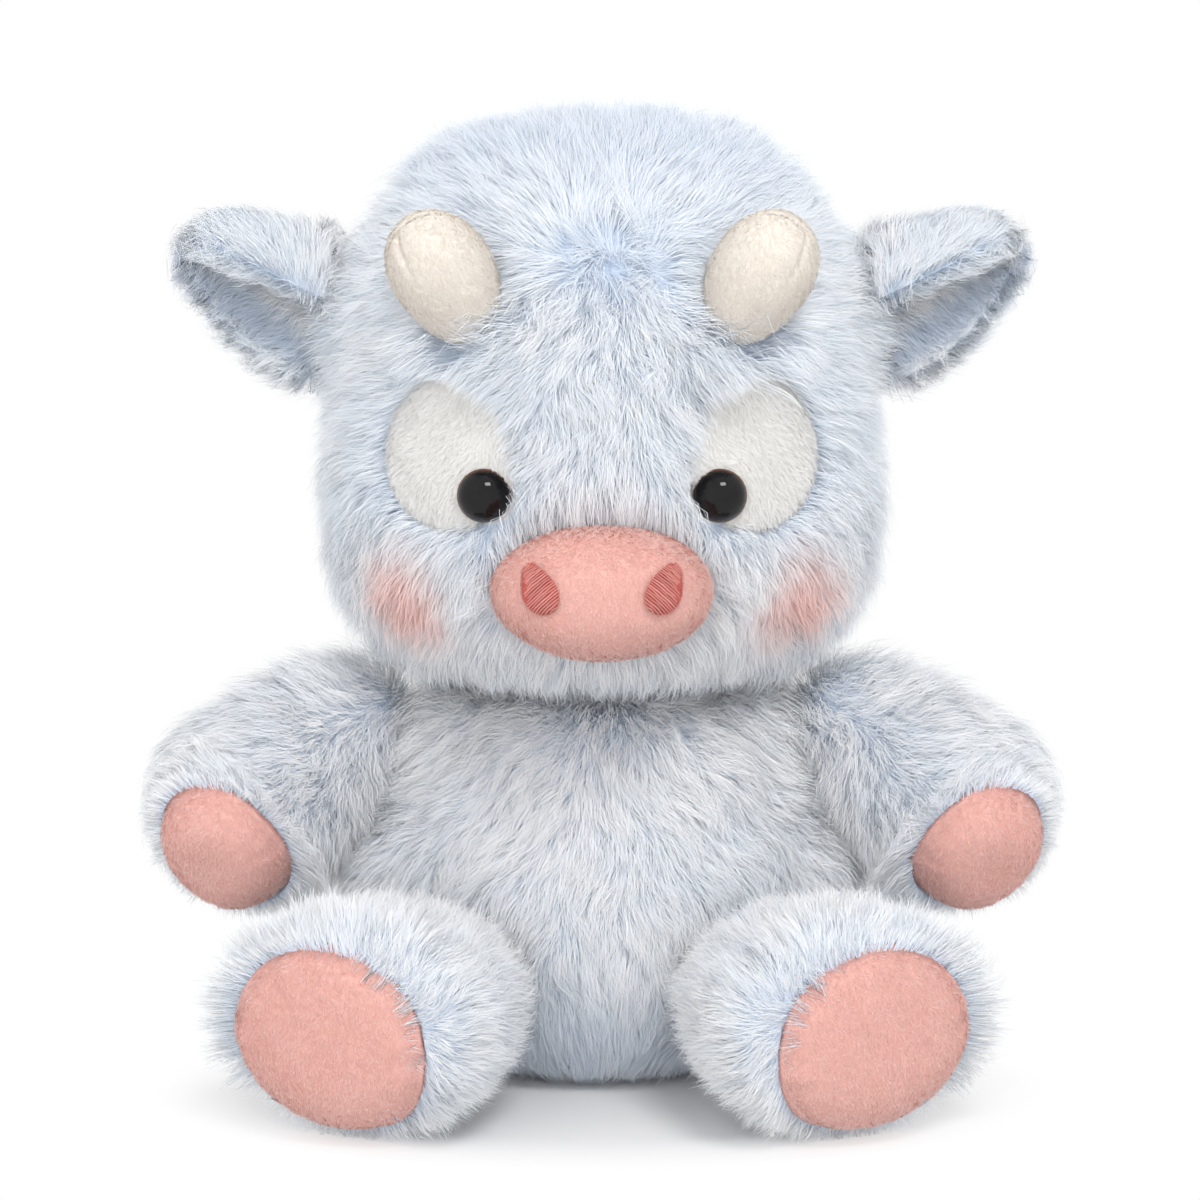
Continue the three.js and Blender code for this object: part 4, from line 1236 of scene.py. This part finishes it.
# Radius, height over the rim and share of painted brown reflection for each ring of an eye, in mm.
EYE_PROFILE = ((0, 5.5, 0), (1.5, 5.38, 0), (3, 4.95, 0), (4.4, 4.2, 0), (5.5, 3.2, 0), (6.1, 2.4, 0),
               (6.5, 1.7, 0.1), (6.75, 1.1, 0.5), (6.9, 0.7, 1), (7.0, 0.35, 1), (6.9, 0, 1), (5.5, -0.3, 0),
               (2.25, -0.5, 0), (2.25, -11.5, 0), (0, -12, 0))


def lathe(name, profile, middle, material, spokes=64):
    """A closed round piece about an axis towards the front, from rings of radius and height in mm."""
    angle = np.arange(spokes) / spokes * 2 * math.pi
    points, rim = [], []
    for radius, height, painted_reflection in profile:
        x, z = radius * np.cos(angle), radius * np.sin(angle)
        points.append(middle + np.stack((x, np.full(spokes, -height), z), 1))
        rim.append(np.full(spokes, float(painted_reflection)))
    piece = surface_piece(name, np.concatenate(points), ring_faces(len(profile) - 1, spokes), material)
    # The rim attribute carries the share of the painted brown reflection.
    set_attribute(piece.data, "rim", np.concatenate(rim))
    bm = bmesh.new()
    bm.from_mesh(piece.data)
    bmesh.ops.remove_doubles(bm, verts=bm.verts, dist=1e-6)
    bm.to_mesh(piece.data)
    bm.free()
    return piece


def build_eyes():
    for side, _ in SIDES:
        node = f"eye_{side}"
        middle = box_middle(node)
        middle[1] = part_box(node)[0][1] / MM + EYE_PROFILE[0][1]
        piece = lathe(f"eye_dome_{side}", EYE_PROFILE, middle, black_eye)
        dress(piece, "head", (node,))
        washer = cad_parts[f"eye_washer_{side}"].data
        washer.materials.clear()
        washer.materials.append(washer_plastic)


STITCH_ROWS = 24
STITCH_SIDES = 6
STITCH_STATIONS = 7
STITCH_RADIUS = 0.27
STITCH_ARCH = 0.22
STITCH_OVERLAP = 0.35


def stitch_spans(zone, tree):
    """Rows across a nostril: the place along it, both ends, and the heights between them."""
    spans = []
    for row in np.linspace(-0.96, 0.96, STITCH_ROWS):
        inside = []
        for share in np.linspace(-1.1, 1.1, 45):
            spot = zone.middle + row * zone.half[0] * zone.across + share * zone.half[1] * zone.up
            hit = tree.ray_cast(Vector(spot + zone.axis * 12), Vector(-zone.axis))[0]
            if hit is not None:
                inside.append(np.array(hit))
        if len(inside) > 3:
            spans.append((inside[0], inside[len(inside) // 2], inside[-1]))
    return spans


def build_nostrils():
    """Satin stitches side by side across each nostril, over a darker ground."""
    for side, _ in SIDES:
        rng = np.random.default_rng(5)
        node = f"nostril_{side}"
        mesh = node_mesh(node)
        tree = tree_of(*mesh)
        zone = oval_of(node, 8)
        ground = surface_piece(f"nostril_ground_{side}", *mesh, rosy_ground)
        dress(ground, "head")
        points, faces, tints = [], [], []
        share = np.linspace(0, 1, STITCH_STATIONS)[:, None]
        round_top = np.sin(share * math.pi)
        angle = (np.arange(STITCH_SIDES) / STITCH_SIDES * 2 * math.pi)[None, :, None]
        ring = np.cos(angle) * zone.axis + np.sin(angle) * zone.across
        for start, middle, end in stitch_spans(zone, tree):
            across = unit(end - start) * STITCH_OVERLAP
            start, end = start - across, end + across
            bend = 2 * middle - (start + end) / 2
            line = start * (1 - share) ** 2 + 2 * share * (1 - share) * bend + end * share ** 2
            stray = rng.normal(0, 0.07, (STITCH_STATIONS, 1))
            line = line + zone.axis * (round_top ** 0.5 * STITCH_ARCH) + zone.across * stray
            radius = STITCH_RADIUS * (0.55 + 0.45 * round_top) * rng.uniform(0.85, 1.15)
            faces += tube_faces(len(points) * STITCH_STATIONS * STITCH_SIDES, STITCH_STATIONS, STITCH_SIDES)
            points.append((line[:, None] + ring * radius[:, :, None]).reshape(-1, 3))
            tints.append(np.full(STITCH_STATIONS * STITCH_SIDES, rng.random()))
        piece = surface_piece(f"nostril_stitches_{side}", np.concatenate(points), faces, rosy_thread)
        set_attribute(piece.data, "tint", np.concatenate(tints))
        dress(piece, "head", (node,))


def tube_faces(base, stations, sides):
    faces = ring_faces(stations - 1, sides, base)
    faces.append([base + s for s in range(sides)][::-1])
    faces.append([base + (stations - 1) * sides + s for s in range(sides)])
    return faces


def floor_material():
    """A pale floor that fades to white a little way from the toy."""
    g = material_graph("floor")
    stretch = (1, FLOOR_STRETCH, 1)
    moved = g.result("ShaderNodeMapping", {"Vector": g.place(), "Location": FLOOR_MIDDLE, "Scale": stretch})
    far = g.result("ShaderNodeVectorMath", {0: moved}, "Value", operation="LENGTH")
    paint = g.finish((0.95, 0.95, 0.955, 1), 0.9, specular=0.1)
    level = g.span(g.seen(), 0, 1, FLOOR_GLOW, 1)
    glow = g.result("ShaderNodeEmission", {"Strength": level, "Color": (1, 1, 1, 1)})
    fade = g.span(far, FLOOR_NEAR, FLOOR_FAR)
    joined = g.result("ShaderNodeMixShader", {0: fade, 1: g.shader.outputs[0], 2: glow})
    g.put(g.tree.nodes["Material Output"].inputs["Surface"], joined)
    return paint


def build_stage():
    """The floor and a white room."""
    far = FLOOR_SIZE / MM
    corners = ((-far, -far, 0), (far, -far, 0), (far, far, 0), (-far, far, 0))
    floor = surface_piece("floor", corners, [(0, 1, 2, 3)], floor_material())
    world = bpy.data.worlds.new("room")
    bpy.context.scene.world = world
    room = Graph(world, "Background")
    room.put(room.shader.inputs["Color"], (1, 1, 1, 1))
    room.put(room.shader.inputs["Strength"], room.span(room.seen(), 0, 1, ROOM_LIGHT, 1))


def build_lights():
    """Soft boxes. The front one is kept out of mirror images, or the eyes would show a grey square."""
    for name, place, width, height, power in LAMPS:
        data = bpy.data.lights.new(name, "AREA")
        data.shape = "RECTANGLE"
        data.size = width
        data.size_y = height
        data.energy = power
        lamp = add_object(name, data)
        lamp.location = place
        lamp.rotation_euler = (Vector(LAMP_AIM) - lamp.location).to_track_quat("-Z", "Y").to_euler()
        lamp.visible_glossy = name != "front"


def build_camera():
    data = bpy.data.cameras.new("camera")
    data.sensor_width = SENSOR_WIDTH
    data.lens = VIEW_LENS
    data.clip_start, data.clip_end = CLIP_RANGE
    camera = add_object("camera", data)
    tilt = math.radians(VIEW_ELEVATION)
    back = Vector((0, -math.cos(tilt), math.sin(tilt)))
    camera.location = (Vector(VIEW_TARGET) + back * VIEW_DISTANCE) * MM
    camera.rotation_euler = (-back).to_track_quat("-Z", "Y").to_euler()
    bpy.context.scene.camera = camera


bpy.context.scene.view_settings.view_transform = "Standard"
build_body()
build_patches(build_head())
build_snout()
build_nostrils()
build_eyes()
build_horns()
build_ears()
build_limbs()
build_tail()
build_stage()
build_lights()
build_camera()
